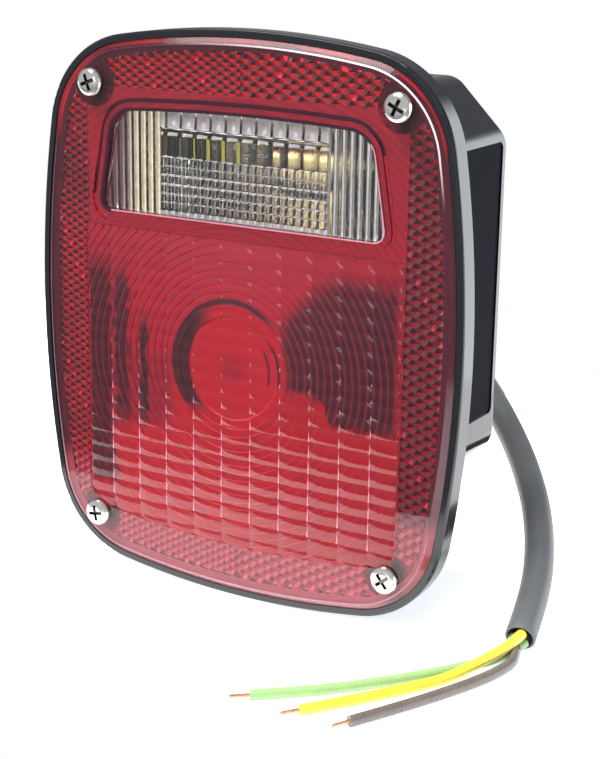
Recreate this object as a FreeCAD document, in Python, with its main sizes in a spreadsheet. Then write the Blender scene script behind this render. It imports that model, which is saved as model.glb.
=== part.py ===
"""Stud-mounted trailer tail light with a red lens, a clear backup window and a three-wire lead.

Frame: the origin is the centre of the three-stud circle on the flat rear face, +Y points to the rear
(the way the studs point), +X is to the right seen from the front, and +Z is up. Millimetres.
"""

import FreeCAD, Part

import math
import os

from FreeCAD import Placement, Rotation, Vector

SIZES = {
    # flange and bucket of the housing
    "flange_width": 146.0,
    "flange_height": 171.5,
    "side_bow": 350.0,
    "end_bow": 270.0,
    "corner_round": 31.0,
    "flange_back": 52.7,
    "flange_thick": 6.6,
    "rim_width": 2.25,
    "recess_depth": 3.1,
    "wall": 2.5,
    "bucket_half": 57.0,
    "bucket_top": 71.0,
    "bucket_bottom": -57.0,
    "top_slope_start": 54.0,
    "top_slope_end": 40.0,
    "low_slope_start": -40.0,
    "low_slope_end": 43.6,
    "bucket_corner": 8.0,
    "rear_edge_round": 1.6,
    "rim_edge_round": 0.8,
    "panel_depth": 0.6,
    "panel_low": -31.0,
    "panel_high": 53.0,
    "panel_rear": 3.0,
    "panel_front": 50.5,
    "panel_corner": 2.0,
    "shelf_low": 26.0,
    "shelf_thick": 2.0,
    "shelf_gap": 4.4,
    "shelf_front": 55.0,
    "shelf_hole": 2.8,
    "shelf_hole_across": 42.3,
    "shelf_hole_depth": 22.2,
    "drain_radius": 2.0,
    "drain_across": 30.0,
    "drain_depth": 12.0,
    # lens, window and gasket
    "lens_gap": 0.2,
    "lens_back": 57.7,
    "lens_edge_thick": 1.5,
    "lens_thick": 3.0,
    "bevel_width": 1.9,
    "window_low": 30.5,
    "window_high": 59.9,
    "window_low_half": 48.5,
    "window_high_half": 43.5,
    "window_low_round": 3.0,
    "window_high_round": 7.5,
    "window_bow": 1.6,
    "window_gap": 0.1,
    "window_lip": 1.5,
    "window_lip_thick": 1.2,
    "window_proud": 1.3,
    "gasket_out": 2.9,
    "gasket_wide": 3.6,
    # lens screws and their inserts
    "screw_across": 51.7,
    "screw_up": 68.0,
    "screw_head": 4.2,
    "screw_head_high": 2.2,
    "screw_shank": 2.05,
    "screw_long": 15.5,
    "screw_taper": 1.2,
    "screw_hole": 2.4,
    "cross_long": 5.0,
    "cross_wide": 1.1,
    "cross_deep": 1.4,
    "boss_radius": 5.0,
    "boss_long": 8.7,
    "insert_radius": 3.0,
    "insert_bore": 2.15,
    "insert_long": 8.0,
    # studs, bracket and cable entry
    "stud_circle": 29.33,
    "stud_radius": 3.175,
    "stud_long": 22.0,
    "stud_tip": 1.0,
    "stud_head": 5.5,
    "stud_head_high": 2.0,
    "stud_neck": 3.5,
    "stud_hole": 3.6,
    "plate_thick": 1.6,
    "plate_left": -32.0,
    "plate_low": -37.0,
    "plate_step": 22.0,
    "arm_left": -48.0,
    "arm_high": 56.0,
    "plate_corner": 3.0,
    "plate_cable_hole": 9.5,
    "ear_reach": 40.0,
    "ear_half": 14.0,
    "ear_hole": 8.5,
    "ear_corner": 1.0,
    "backup_ear_drop": 3.0,
    "cable_across": 10.0,
    "cable_hole": 6.5,
    "grommet_body": 6.4,
    "grommet_lip": 8.5,
    "grommet_lip_thick": 1.5,
    "grommet_nose": 5.9,
    "grommet_tip": 5.2,
    "grommet_edge": 0.5,
    "grommet_nose_long": 7.0,
    # bayonet bulbs and sockets, measured along their axis from the contact plane
    "bulb_depth": 28.0,
    "tail_across": 33.5,
    "tail_up": -13.5,
    "backup_across": 20.0,
    "backup_up": 46.0,
    "glass_radius": 13.25,
    "glass_centre": 36.0,
    "glass_neck": 6.6,
    "glass_wall": 0.8,
    "glass_sunk": 4.0,
    "base_radius": 7.6,
    "base_high": 19.0,
    "base_wall": 0.4,
    "base_floor": 3.0,
    "pin_high": 7.0,
    "pin_radius": 1.0,
    "pin_reach": 9.3,
    "pin_step": 2.5,
    "contact_high": 1.2,
    "contact_radius": 1.6,
    "contact_apart": 3.0,
    "post_radius": 0.35,
    "post_apart": 2.5,
    "coil_radius": 0.45,
    "filament_offset": 2.0,
    "filament_drop": 3.0,
    "shell_radius": 8.45,
    "shell_bore": 7.85,
    "shell_rear": 8.0,
    "shell_mouth": 14.0,
    "shell_wall": 1.0,
    "shell_rear_hole": 4.6,
    "flange_radius": 11.0,
    "flange_front": 3.6,
    "ear_front": 4.4,
    "crimp_radius": 9.4,
    "crimp_thick": 0.8,
    "slot_wide": 2.5,
    "slot_room": 0.2,
    "push_travel": 2.0,
    "turn_angle": 20.0,
    "slot_margin": 9.0,
    "slot_beyond": 1.0,
    "disc_radius": 7.5,
    "disc_thick": 2.4,
    "disc_contact": 0.6,
    "spring_radius": 5.6,
    "spring_wire": 0.35,
    "spring_pitch": 1.1,
    # lead
    "sheath_radius": 4.45,
    "wire_radius": 1.55,
    "copper_radius": 0.6,
    "copper_long": 5.5,
}

# The routes of the free lead lie on the surface that the lamp stands beside, at the flange's lowest edge.
FLOOR = -85.75
WIRE_FLOOR = FLOOR + SIZES["wire_radius"]
SHEATH_ROUTE = [
    (10.0, -8.0, 0.0),
    (10.0, 7.0, 0.0),
    (10.8, 20.5, -2.5),
    (14.5, 32.0, -10.0),
    (21.0, 40.0, -20.5),
    (30.0, 42.0, -32.0),
    (41.0, 38.0, -42.0),
    (52.0, 27.5, -48.5),
    (63.5, 12.0, -52.5),
    (75.0, -5.0, -58.5),
    (83.0, -20.0, -67.0),
    (87.5, -34.5, -75.5),
    (90.0, -49.5, -81.2),
]
# Each wire leaves the sheath's mouth at its own (left, up) place in the bundle.
OUTER_WIRES = {
    "yellow": (
        (0.7, 1.75),
        [
            (89.8, -58.0, -81.0),
            (86.3, -67.5, -82.3),
            (81.5, -78.5, WIRE_FLOOR),
            (74.7, -90.5, WIRE_FLOOR),
            (66.2, -103.5, WIRE_FLOOR),
            (56.6, -116.7, WIRE_FLOOR),
        ],
    ),
    "brown": (
        (-1.95, -0.1),
        [
            (93.2, -57.3, -83.4),
            (91.5, -67.5, WIRE_FLOOR),
            (88.0, -78.5, WIRE_FLOOR),
            (83.2, -90.0, WIRE_FLOOR),
            (77.4, -102.3, WIRE_FLOOR),
            (70.9, -115.1, WIRE_FLOOR),
        ],
    ),
    "green": (
        (1.3, -1.4),
        [
            (88.6, -57.0, WIRE_FLOOR),
            (84.0, -66.5, WIRE_FLOOR),
            (75.4, -79.7, WIRE_FLOOR),
            (64.6, -93.6, WIRE_FLOOR),
            (52.9, -106.1, WIRE_FLOOR),
            (40.8, -116.4, WIRE_FLOOR),
        ],
    ),
}
# Inside the housing the same wires run from the sheath's inner end to the two sockets.
INNER_WIRES = {
    "brown": (
        (-1.8, -1.0),
        [
            (12.5, -16.0, 0.0),
            (21.0, -20.5, 4.0),
            (32.0, -21.0, 7.0),
            (42.5, -22.5, 7.5),
            (49.0, -25.0, 2.5),
            (50.8, -25.9, -6.0),
            (47.0, -26.0, -12.5),
            (41.5, -26.0, -13.5),
        ],
    ),
    "yellow": (
        (1.8, -1.0),
        [
            (8.8, -17.0, 0.5),
            (18.0, -24.5, 4.5),
            (31.0, -26.5, 7.8),
            (42.5, -28.5, 8.0),
            (49.2, -30.0, 2.5),
            (50.8, -30.0, -6.0),
            (47.0, -30.0, -12.5),
            (41.5, -30.0, -13.5),
        ],
    ),
    "green": (
        (0.0, 2.0),
        [
            (10.0, -17.0, 3.6),
            (19.0, -22.0, 8.5),
            (31.0, -22.0, 14.0),
            (41.0, -22.0, 22.0),
            (44.5, -22.5, 33.0),
            (41.5, -25.5, 43.0),
            (34.5, -27.5, 46.5),
            (28.0, -28.0, 46.0),
        ],
    ),
}

SCREWS = {  # corner of the lens, and how far each cross recess is turned
    "upper_left": (-1, 1, 20.0),
    "upper_right": (1, 1, 65.0),
    "lower_left": (-1, -1, 10.0),
    "lower_right": (1, -1, 38.0),
}
# The dome of a screw head, as shares of its radius and height from the edge to the middle.
HEAD_DOME = ((1.0, 0.35), (0.93, 0.62), (0.76, 0.84), (0.5, 0.96), (0.0, 1.0))
STUD_ANGLES = (30.0, 150.0, 270.0)
ARC_STEPS = 16
# Each bend of a lead may use this share of the shorter of its two runs.
BEND_SHARE = 0.45

doc = FreeCAD.newDocument("tail_light")
sheet = doc.addObject("Spreadsheet::Sheet", "Sizes")
nodes = []


def fill_sheet():
    for row, (alias, value) in enumerate(SIZES.items(), start=1):
        sheet.set(f"A{row}", alias)
        sheet.set(f"B{row}", str(value))
        sheet.setAlias(f"B{row}", alias)
    doc.recompute()


def size(alias):
    return float(sheet.get(alias))


def node(piece, label, placement=None):
    """Names a finished sub-part, places it and keeps it for writing."""
    piece.Label = label
    if placement is not None:
        piece.Placement = placement
    nodes.append(piece)
    return piece


# ---- outlines, as lists of lines and arcs in a sketch's own plane ----


def rounded(points, radii):
    """A closed polygon with each corner replaced by a tangent arc of its own radius."""
    starts, ends, middles = [], [], []
    count = len(points)
    corners = [Vector(x, y, 0) for x, y in points]
    for i, corner in enumerate(corners):
        back = (corners[i - 1] - corner).normalize()
        ahead = (corners[(i + 1) % count] - corner).normalize()
        half = back.getAngle(ahead) / 2
        reach = radii[i] / math.tan(half)
        to_centre = (back + ahead).normalize()
        starts.append(corner + back * reach)
        ends.append(corner + ahead * reach)
        middles.append(corner + to_centre * (radii[i] / math.sin(half) - radii[i]))
    edges = []
    for i in range(count):
        edges.append(Part.Arc(starts[i], middles[i], ends[i]))
        edges.append(Part.LineSegment(ends[i], starts[(i + 1) % count]))
    return edges


def grown(points, by):
    """The corners of an anticlockwise polygon whose sides have all moved outwards by one distance."""
    count = len(points)
    lines = []
    for i in range(count):
        (x, y), (u, v) = points[i], points[(i + 1) % count]
        long = math.hypot(u - x, v - y)
        across, up = (v - y) / long, (x - u) / long
        lines.append((across, up, across * x + up * y + by))
    corners = []
    for i in range(count):
        a, b, c = lines[i - 1]
        d, e, f = lines[i]
        det = a * e - b * d
        corners.append(((c * e - b * f) / det, (a * f - c * d) / det))
    return corners


def bowed(inset):
    """The flange's outline moved inwards: four gently bowed sides joined by round corners."""
    half_wide = size("flange_width") / 2 - inset
    half_high = size("flange_height") / 2 - inset
    side, end, corner = (size(n) - inset for n in ("side_bow", "end_bow", "corner_round"))
    side_x, end_y = half_wide - side, half_high - end
    # the corner arc touches both bows from inside, so its centre is known by two distances
    span = math.hypot(side_x, end_y)
    to_side, to_end = side - corner, end - corner
    along = (to_side**2 - to_end**2 + span**2) / (2 * span)
    off = math.sqrt(to_side**2 - along**2)
    ux, uy = -side_x / span, end_y / span
    candidates = [(side_x + along * ux + s * off * uy, along * uy - s * off * ux) for s in (1, -1)]
    cx, cy = max(candidates, key=lambda c: c[0] + c[1])
    side_touch = touch((side_x, 0), (cx, cy), side)
    end_touch = touch((0, end_y), (cx, cy), end)
    out = math.hypot(cx - side_touch[0] + cx - end_touch[0], cy - side_touch[1] + cy - end_touch[1])
    mid = (
        cx - corner * (2 * cx - side_touch[0] - end_touch[0]) / out,
        cy - corner * (2 * cy - side_touch[1] - end_touch[1]) / out,
    )
    edges = []
    for sx, sy in ((1, 1), (-1, 1), (-1, -1), (1, -1)):
        edges.append(Part.Arc(*(Vector(sx * x, sy * y, 0) for x, y in (side_touch, mid, end_touch))))
    for s in (1, -1):
        (x, y), (u, v) = side_touch, end_touch
        edges.append(Part.Arc(Vector(s * x, -y, 0), Vector(s * half_wide, 0, 0), Vector(s * x, y, 0)))
        edges.append(Part.Arc(Vector(-u, s * v, 0), Vector(0, s * half_high, 0), Vector(u, s * v, 0)))
    return edges


def touch(centre, through, radius):
    """The point of a circle in line with its centre and another point."""
    dx, dy = through[0] - centre[0], through[1] - centre[1]
    long = math.hypot(dx, dy)
    return centre[0] + dx / long * radius, centre[1] + dy / long * radius


def bucket(inset):
    """The housing's box outline, with sloping upper and lower corners, moved inwards."""
    half, top, bottom = (size(n) for n in ("bucket_half", "bucket_top", "bucket_bottom"))
    right = [
        (size("low_slope_end"), bottom),
        (half, size("low_slope_start")),
        (half, size("top_slope_start")),
        (size("top_slope_end"), top),
    ]
    left = [(-x, y) for x, y in reversed(right)]
    return rounded(grown(right + left, -inset), [size("bucket_corner") - inset] * 8)


def window(grow):
    """The backup window's outline: wider at the bottom, with rounder upper corners and a bowed top."""
    low, high = size("window_low_half"), size("window_high_half")
    points = [
        (-low, size("window_low")),
        (low, size("window_low")),
        (high, size("window_high")),
        (-high, size("window_high")),
    ]
    small, large = size("window_low_round") + grow, size("window_high_round") + grow
    edges = rounded(grown(points, grow), [small, small, large, large])
    # each corner gives an arc and then the straight run after it
    top = 2 * points.index((high, size("window_high"))) + 1
    start, end = edges[top].StartPoint, edges[top].EndPoint
    middle = (start + end) / 2 + Vector(0, size("window_bow"), 0)
    edges[top] = Part.Arc(start, middle, end)
    return edges


def circles(places, radius):
    return [Part.Circle(Vector(x, y, 0), Vector(0, 0, 1), radius) for x, y in places]


def box_outline(low, high, corner):
    (x, y), (u, v) = low, high
    return rounded([(x, y), (u, y), (u, v), (x, v)], [corner] * 4)


def screw_places():
    return [(x * size("screw_across"), z * size("screw_up")) for x, z, _ in SCREWS.values()]


def stud_places():
    reach = size("stud_circle")
    return [(reach * math.cos(math.radians(a)), reach * math.sin(math.radians(a))) for a in STUD_ANGLES]


# ---- PartDesign helpers ----


def new_body(label):
    return doc.addObject("PartDesign::Body", label)


def sketch_on(body, name, plane, offset, geometry):
    """A sketch parallel to an origin plane, moved along the plane's normal by an expression."""
    sketch = body.newObject("Sketcher::SketchObject", name)
    support = next(f for f in body.Origin.OriginFeatures if f.Role == plane)
    sketch.AttachmentSupport = [(support, "")]
    sketch.MapMode = "FlatFace"
    sketch.setExpression("AttachmentOffset.Base.z", offset)
    sketch.addGeometry(geometry, False)
    return sketch


def feature(body, kind, name, plane, offset, geometry, length, reverse=False):
    """A Pad or Pocket of one sketch. Its length is checked to have changed the solid."""
    doc.recompute()
    before = body.Shape.Volume if body.Tip else 0.0
    sketch = sketch_on(body, name + "_sketch", plane, offset, geometry)
    made = body.newObject("PartDesign::" + kind, name)
    made.Profile = sketch
    made.Reversed = reverse
    made.setExpression("Length", length)
    body.Tip = made
    doc.recompute()
    change = body.Shape.Volume - before
    if (change > 0) != (kind == "Pad") or abs(change) < 0.01:
        raise ValueError(f"{body.Label} {name}: the {kind} changed the volume by {change:.3f}")
    return made


def turned(label, profile):
    """A body of revolution about its own Z axis, from (radius, height) corners."""
    body = new_body(label)
    corners = [Vector(r, z, 0) for r, z in profile]
    edges = [Part.LineSegment(a, b) for a, b in zip(corners, corners[1:] + corners[:1])]
    sketch = sketch_on(body, label + "_profile", "XZ_Plane", "0 * Sizes.wall", edges)
    spin = body.newObject("PartDesign::Revolution", label + "_spin")
    spin.Profile = sketch
    spin.ReferenceAxis = (sketch, ["V_Axis"])
    spin.Angle = 360
    body.Tip = spin
    doc.recompute()
    return body


def cylinder(name, radius, height, base=(0, 0, 0), turn=None):
    piece = doc.addObject("Part::Cylinder", name)
    piece.setExpression("Radius", radius)
    piece.setExpression("Height", height)
    piece.Placement = Placement(Vector(*base), turn or Rotation())
    return piece


def joined(name, kind, first, second):
    """A Cut, Fuse or Common of two objects."""
    made = doc.addObject("Part::" + kind, name)
    made.Base = first
    made.Tool = second
    return made


def group(label, pieces):
    made = doc.addObject("Part::Compound", label)
    made.Links = pieces
    return node(made, label)


# ---- housing ----


def round_edges(body, name, radius, picks):
    """Fillets the edges of a body whose middle point passes a test."""
    doc.recompute()
    base = body.Tip
    names = []
    for number, edge in enumerate(base.Shape.Edges, start=1):
        if picks(edge):
            names.append(f"Edge{number}")
    fillet = body.newObject("PartDesign::Fillet", name)
    fillet.Base = (base, names)
    fillet.setExpression("Radius", radius)
    body.Tip = fillet
    doc.recompute()


def lies_at(edge, depth):
    """Whether an edge lies wholly in the plane a distance in front of the rear face."""
    box = edge.BoundBox
    return abs(box.YMin + depth) < 0.01 and abs(box.YMax + depth) < 0.01


def make_housing():
    body = new_body("housing")
    floor = "Sizes.flange_back + Sizes.flange_thick - Sizes.recess_depth"
    feature(body, "Pad", "bucket", "XZ_Plane", "0 * Sizes.wall", bucket(0), "Sizes.flange_back")
    round_edges(body, "rear_round", "Sizes.rear_edge_round", lambda e: lies_at(e, 0))
    feature(body, "Pad", "flange", "XZ_Plane", "Sizes.flange_back", bowed(0), "Sizes.flange_thick")
    rim = size("flange_back") + size("flange_thick")
    round_edges(body, "rim_round", "Sizes.rim_edge_round", lambda e: lies_at(e, rim))
    front = "Sizes.flange_back + Sizes.flange_thick"
    recess = bowed(size("rim_width"))
    feature(body, "Pocket", "lens_recess", "XZ_Plane", front, recess, "Sizes.recess_depth")
    feature(body, "Pocket", "cavity", "XZ_Plane", floor, bucket(size("wall")), floor + " - Sizes.wall")
    bosses = circles(screw_places(), size("boss_radius"))
    feature(body, "Pad", "bosses", "XZ_Plane", "Sizes.flange_back", bosses, "Sizes.boss_long", True)
    holes = circles(screw_places(), size("screw_hole"))
    through = "Sizes.flange_thick + Sizes.boss_long"
    feature(body, "Pocket", "screw_holes", "XZ_Plane", floor, holes, through)
    seats = circles(screw_places(), size("insert_radius"))
    boss_end = "Sizes.flange_back - Sizes.boss_long"
    feature(body, "Pocket", "insert_seats", "XZ_Plane", boss_end, seats, "Sizes.insert_long", True)
    make_rear_holes(body)
    make_side_panels(body)
    make_shelf(body)
    node(body, "housing")


def make_rear_holes(body):
    studs = circles(stud_places(), size("stud_hole"))
    feature(body, "Pocket", "stud_holes", "XZ_Plane", "Sizes.wall", studs, "Sizes.wall")
    entry = circles([(size("cable_across"), 0)], size("cable_hole"))
    feature(body, "Pocket", "cable_entry", "XZ_Plane", "Sizes.wall", entry, "Sizes.wall")
    drains = circles(
        [(s * size("drain_across"), -size("drain_depth")) for s in (-1, 1)], size("drain_radius")
    )
    feature(body, "Pocket", "drains", "XY_Plane", "Sizes.bucket_bottom", drains, "Sizes.wall", True)


def make_side_panels(body):
    """A shallow sunk panel on each side wall, inside a plain raised border."""
    outline = box_outline(
        (-size("panel_front"), size("panel_low")),
        (-size("panel_rear"), size("panel_high")),
        size("panel_corner"),
    )
    right, left = "Sizes.bucket_half", "-Sizes.bucket_half"
    feature(body, "Pocket", "right_panel", "YZ_Plane", right, outline, "Sizes.panel_depth")
    feature(body, "Pocket", "left_panel", "YZ_Plane", left, outline, "Sizes.panel_depth", True)


def make_shelf(body):
    """The light baffle between the backup compartment and the stop and tail compartment."""
    half = size("bucket_half") - size("wall") / 2
    low, high = size("shelf_low"), size("shelf_low") + size("shelf_thick")
    corners = [(-half, low), (half, low), (half, high), (-half, high)]
    outline = [
        Part.LineSegment(Vector(*a, 0), Vector(*b, 0)) for a, b in zip(corners, corners[1:] + corners[:1])
    ]
    long = "Sizes.shelf_front - Sizes.shelf_gap"
    feature(body, "Pad", "shelf", "XZ_Plane", "Sizes.shelf_gap", outline, long)
    above = "Sizes.shelf_low + Sizes.shelf_thick"
    place = (size("shelf_hole_across"), -size("shelf_hole_depth"))
    hole = circles([place], size("shelf_hole"))
    feature(body, "Pocket", "shelf_wire_hole", "XY_Plane", above, hole, "Sizes.shelf_thick")


# ---- lens, window, gasket ----


def make_lens():
    body = new_body("lens")
    edge = size("rim_width") + size("lens_gap")
    feature(body, "Pad", "lens_edge", "XZ_Plane", "Sizes.lens_back", bowed(edge), "Sizes.lens_edge_thick")
    low = sketch_on(
        body, "bevel_low", "XZ_Plane", "Sizes.lens_back + Sizes.lens_edge_thick", bowed(edge)
    )
    face = bowed(edge + size("bevel_width"))
    high = sketch_on(body, "bevel_high", "XZ_Plane", "Sizes.lens_back + Sizes.lens_thick", face)
    bevel = body.newObject("PartDesign::AdditiveLoft", "bevel")
    bevel.Profile = low
    bevel.Sections = [high]
    bevel.Ruled = True
    body.Tip = bevel
    doc.recompute()
    front = "Sizes.lens_back + Sizes.lens_thick"
    feature(body, "Pocket", "window_opening", "XZ_Plane", front, window(0), "Sizes.lens_thick")
    holes = circles(screw_places(), size("screw_hole"))
    feature(body, "Pocket", "lens_screw_holes", "XZ_Plane", front, holes, "Sizes.lens_thick")
    node(body, "lens")


def make_window():
    body = new_body("backup_window")
    lip = window(size("window_lip"))
    lip_back = "Sizes.lens_back - Sizes.window_lip_thick"
    feature(body, "Pad", "window_lip", "XZ_Plane", lip_back, lip, "Sizes.window_lip_thick")
    pane = window(-size("window_gap"))
    feature(body, "Pad", "window_pane", "XZ_Plane", "Sizes.lens_back", pane, "Sizes.window_proud")
    node(body, "backup_window")


def make_gasket():
    body = new_body("lens_gasket")
    outer = bowed(size("gasket_out"))
    inner = bowed(size("gasket_out") + size("gasket_wide"))
    floor = "Sizes.flange_back + Sizes.flange_thick - Sizes.recess_depth"
    feature(body, "Pad", "gasket", "XZ_Plane", floor, outer + inner, "Sizes.lens_back - (" + floor + ")")
    node(body, "lens_gasket")


# ---- screws, inserts, studs ----


def make_screw(corner, across, up, turn):
    """A pan-head screw with a cross recess, built head up and laid along -Y."""
    label = "lens_screw_" + corner
    head, high, shank = (size(n) for n in ("screw_head", "screw_head_high", "screw_shank"))
    profile = [
        (0, -size("screw_long")),
        (shank - size("screw_taper") / 2, -size("screw_long")),
        (shank, -size("screw_long") + size("screw_taper")),
        (shank, 0),
        (head, 0),
    ]
    profile += [(head * across_share, high * high_share) for across_share, high_share in HEAD_DOME]
    body = turned(label, profile)
    half, wide = size("cross_long") / 2, size("cross_wide") / 2
    arms = [(wide, wide), (wide, half), (-wide, half), (-wide, wide), (-half, wide), (-half, -wide)]
    arms += [(-wide, -wide), (-wide, -half), (wide, -half), (wide, -wide), (half, -wide), (half, wide)]
    corners = [Vector(x, y, 0) for x, y in arms]
    cross = [Part.LineSegment(a, b) for a, b in zip(corners, corners[1:] + corners[:1])]
    feature(body, "Pocket", label + "_cross", "XY_Plane", "Sizes.screw_head_high", cross, "Sizes.cross_deep")
    face = size("lens_back") + size("lens_thick")
    spot = Vector(across * size("screw_across"), -face, up * size("screw_up"))
    upright = Rotation(Vector(1, 0, 0), 90)
    node(body, label, Placement(spot, upright * Rotation(Vector(0, 0, 1), turn)))


def make_inserts():
    """Brass threaded inserts pressed into the four bosses from behind."""
    tubes = []
    backward = Rotation(Vector(1, 0, 0), 90)
    depth = -(size("flange_back") - size("boss_long"))
    for number, (x, z) in enumerate(screw_places(), start=1):
        end, long = (x, depth, z), "Sizes.insert_long"
        outer = cylinder(f"insert_{number}", "Sizes.insert_radius", long, end, backward)
        inner = cylinder(f"insert_bore_{number}", "Sizes.insert_bore", long, end, backward)
        tubes.append(joined(f"insert_tube_{number}", "Cut", outer, inner))
    group("screw_inserts", tubes)


def make_studs():
    """Three studs whose heads clamp the socket bracket to the inside of the rear wall."""
    studs = []
    rearward = Rotation(Vector(1, 0, 0), -90)
    inside = -size("wall") - size("plate_thick")
    for number, (x, z) in enumerate(stud_places(), start=1):
        head_at = (x, inside - size("stud_head_high"), z)
        head = cylinder(f"stud_head_{number}", "Sizes.stud_head", "Sizes.stud_head_high", head_at, rearward)
        clamped = "Sizes.wall + Sizes.plate_thick"
        neck = cylinder(f"stud_neck_{number}", "Sizes.stud_neck", clamped, (x, inside, z), rearward)
        long = "Sizes.stud_long - Sizes.stud_tip"
        shank = cylinder(f"stud_shank_{number}", "Sizes.stud_radius", long, (x, 0, z), rearward)
        tip = doc.addObject("Part::Cone", f"stud_tip_{number}")
        tip.setExpression("Radius1", "Sizes.stud_radius")
        tip.setExpression("Radius2", "Sizes.stud_radius - Sizes.stud_tip")
        tip.setExpression("Height", "Sizes.stud_tip")
        tip.Placement = Placement(Vector(x, size("stud_long") - size("stud_tip"), z), rearward)
        held = joined(f"stud_held_{number}", "Fuse", head, neck)
        pair = joined(f"stud_pair_{number}", "Fuse", held, shank)
        studs.append(joined(f"stud_{number}", "Fuse", pair, tip))
    group("mounting_studs", studs)


# ---- socket bracket and cable entry ----


def make_bracket():
    """A stamped plate behind both bulbs, with one ear bent forward for each socket."""
    body = new_body("socket_bracket")
    ear_back = size("ear_front") + size("plate_thick")
    tail, backup = size("tail_across") + ear_back, size("backup_across") + ear_back
    left, low, step = size("plate_left"), size("plate_low"), size("plate_step")
    arm, high = size("arm_left"), size("arm_high")
    points = [
        (left, low),
        (tail, low),
        (tail, step),
        (backup, step),
        (backup, high),
        (arm, high),
        (arm, step),
        (left, step),
    ]
    outline = rounded(points, [size("plate_corner")] * len(points))
    feature(body, "Pad", "plate", "XZ_Plane", "Sizes.wall", outline, "Sizes.plate_thick")
    ears = {"tail": size("tail_up"), "backup": size("backup_up") - size("backup_ear_drop")}
    for name, up in ears.items():
        half = size("ear_half")
        ear = box_outline((-size("ear_reach"), up - half), (-size("wall"), up + half), size("ear_corner"))
        front = f"Sizes.{name}_across + Sizes.ear_front"
        feature(body, "Pad", name + "_ear", "YZ_Plane", front, ear, "Sizes.plate_thick")
        hole = circles([(-size("bulb_depth"), size(name + "_up"))], size("ear_hole"))
        back = front + " + Sizes.plate_thick"
        feature(body, "Pocket", name + "_ear_hole", "YZ_Plane", back, hole, "Sizes.plate_thick")
    front = "Sizes.wall + Sizes.plate_thick"
    studs = circles(stud_places(), size("stud_hole"))
    feature(body, "Pocket", "plate_stud_holes", "XZ_Plane", front, studs, "Sizes.plate_thick")
    entry = circles([(size("cable_across"), 0)], size("plate_cable_hole"))
    feature(body, "Pocket", "plate_cable_hole", "XZ_Plane", front, entry, "Sizes.plate_thick")
    node(body, "socket_bracket")


def make_grommet():
    """A rubber bush in the rear wall, with a lip inside and a nose that hugs the sheath outside."""
    bore, neck, lip = size("sheath_radius"), size("grommet_body"), size("grommet_lip")
    wall, thick, nose = size("wall"), size("grommet_lip_thick"), size("grommet_nose")
    tip, long, soft = size("grommet_tip"), size("grommet_nose_long"), size("grommet_edge")
    profile = [
        (bore, -wall - thick),
        (lip - soft, -wall - thick),
        (lip, -wall - thick + soft),
        (lip, -wall),
        (neck, -wall),
        (neck, 0),
        (nose, thick),
        (tip, long),
        (bore, long),
    ]
    body = turned("cable_grommet", profile)
    spot = Vector(size("cable_across"), 0, 0)
    node(body, "cable_grommet", Placement(spot, Rotation(Vector(1, 0, 0), -90)))


# ---- bulbs and sockets, each built upright about its own Z axis ----


def along_bulb(name):
    """Where a bulb's axis stands: its glass points to -X."""
    spot = Vector(size(name + "_across"), -size("bulb_depth"), size(name + "_up"))
    return Placement(spot, Rotation(Vector(0, 1, 0), -90))


def arc_points(centre, radius, first, last):
    """Points on a circle in the (radius, height) plane, from one angle to another in degrees."""
    angles = (math.radians(first + (last - first) * i / ARC_STEPS) for i in range(ARC_STEPS + 1))
    return [(radius * math.cos(a), centre + radius * math.sin(a)) for a in angles]


def make_glass(name):
    """The blown envelope: a ball on a narrow neck, open at the bottom inside the brass base."""
    radius, centre, neck, wall = (
        size(n) for n in ("glass_radius", "glass_centre", "glass_neck", "glass_wall")
    )
    start = -math.degrees(math.acos(neck / radius))
    foot = size("base_high") - size("glass_sunk")
    outer = [(neck, foot)] + arc_points(centre, radius, start, 90)
    inner_start = -math.degrees(math.acos((neck - wall) / (radius - wall)))
    inner = [(neck - wall, foot)] + arc_points(centre, radius - wall, inner_start, 90)
    body = turned(name + "_bulb_glass", outer + inner[::-1])
    node(body, name + "_bulb_glass", along_bulb(name))


def make_base(name, step):
    """The brass cap, with two bayonet pins. The second pin can sit higher, so the bulb fits one way."""
    outer, wall, high = size("base_radius"), size("base_wall"), size("base_high")
    low, inside = size("contact_high"), size("contact_high") + size("base_floor")
    profile = [
        (0, low),
        (outer, low),
        (outer, high),
        (outer - wall, high),
        (outer - wall, inside),
        (0, inside),
    ]
    cap = turned(name + "_cap", profile)
    pieces = cap
    for number, (side, lift) in enumerate(((1, 0.0), (-1, step)), start=1):
        start = (side * (outer - wall), 0, size("pin_high") + lift)
        turn = Rotation(Vector(0, 1, 0), 90 * side)
        long = "Sizes.pin_reach - Sizes.base_radius + Sizes.base_wall"
        pin = cylinder(f"{name}_pin_{number}", "Sizes.pin_radius", long, start, turn)
        pieces = joined(f"{name}_cap_and_pin_{number}", "Fuse", pieces, pin)
    node(pieces, name + "_bulb_base", along_bulb(name))


def make_bulb_contacts(name, places):
    """The solder contacts under the cap."""
    dots = []
    for number, across in enumerate(places, start=1):
        dots.append(
            cylinder(f"{name}_dot_{number}", "Sizes.contact_radius", "Sizes.contact_high", (0, across, 0))
        )
    made = doc.addObject("Part::Compound", name + "_dots")
    made.Links = dots
    node(made, name + "_bulb_contacts", along_bulb(name))


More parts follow.
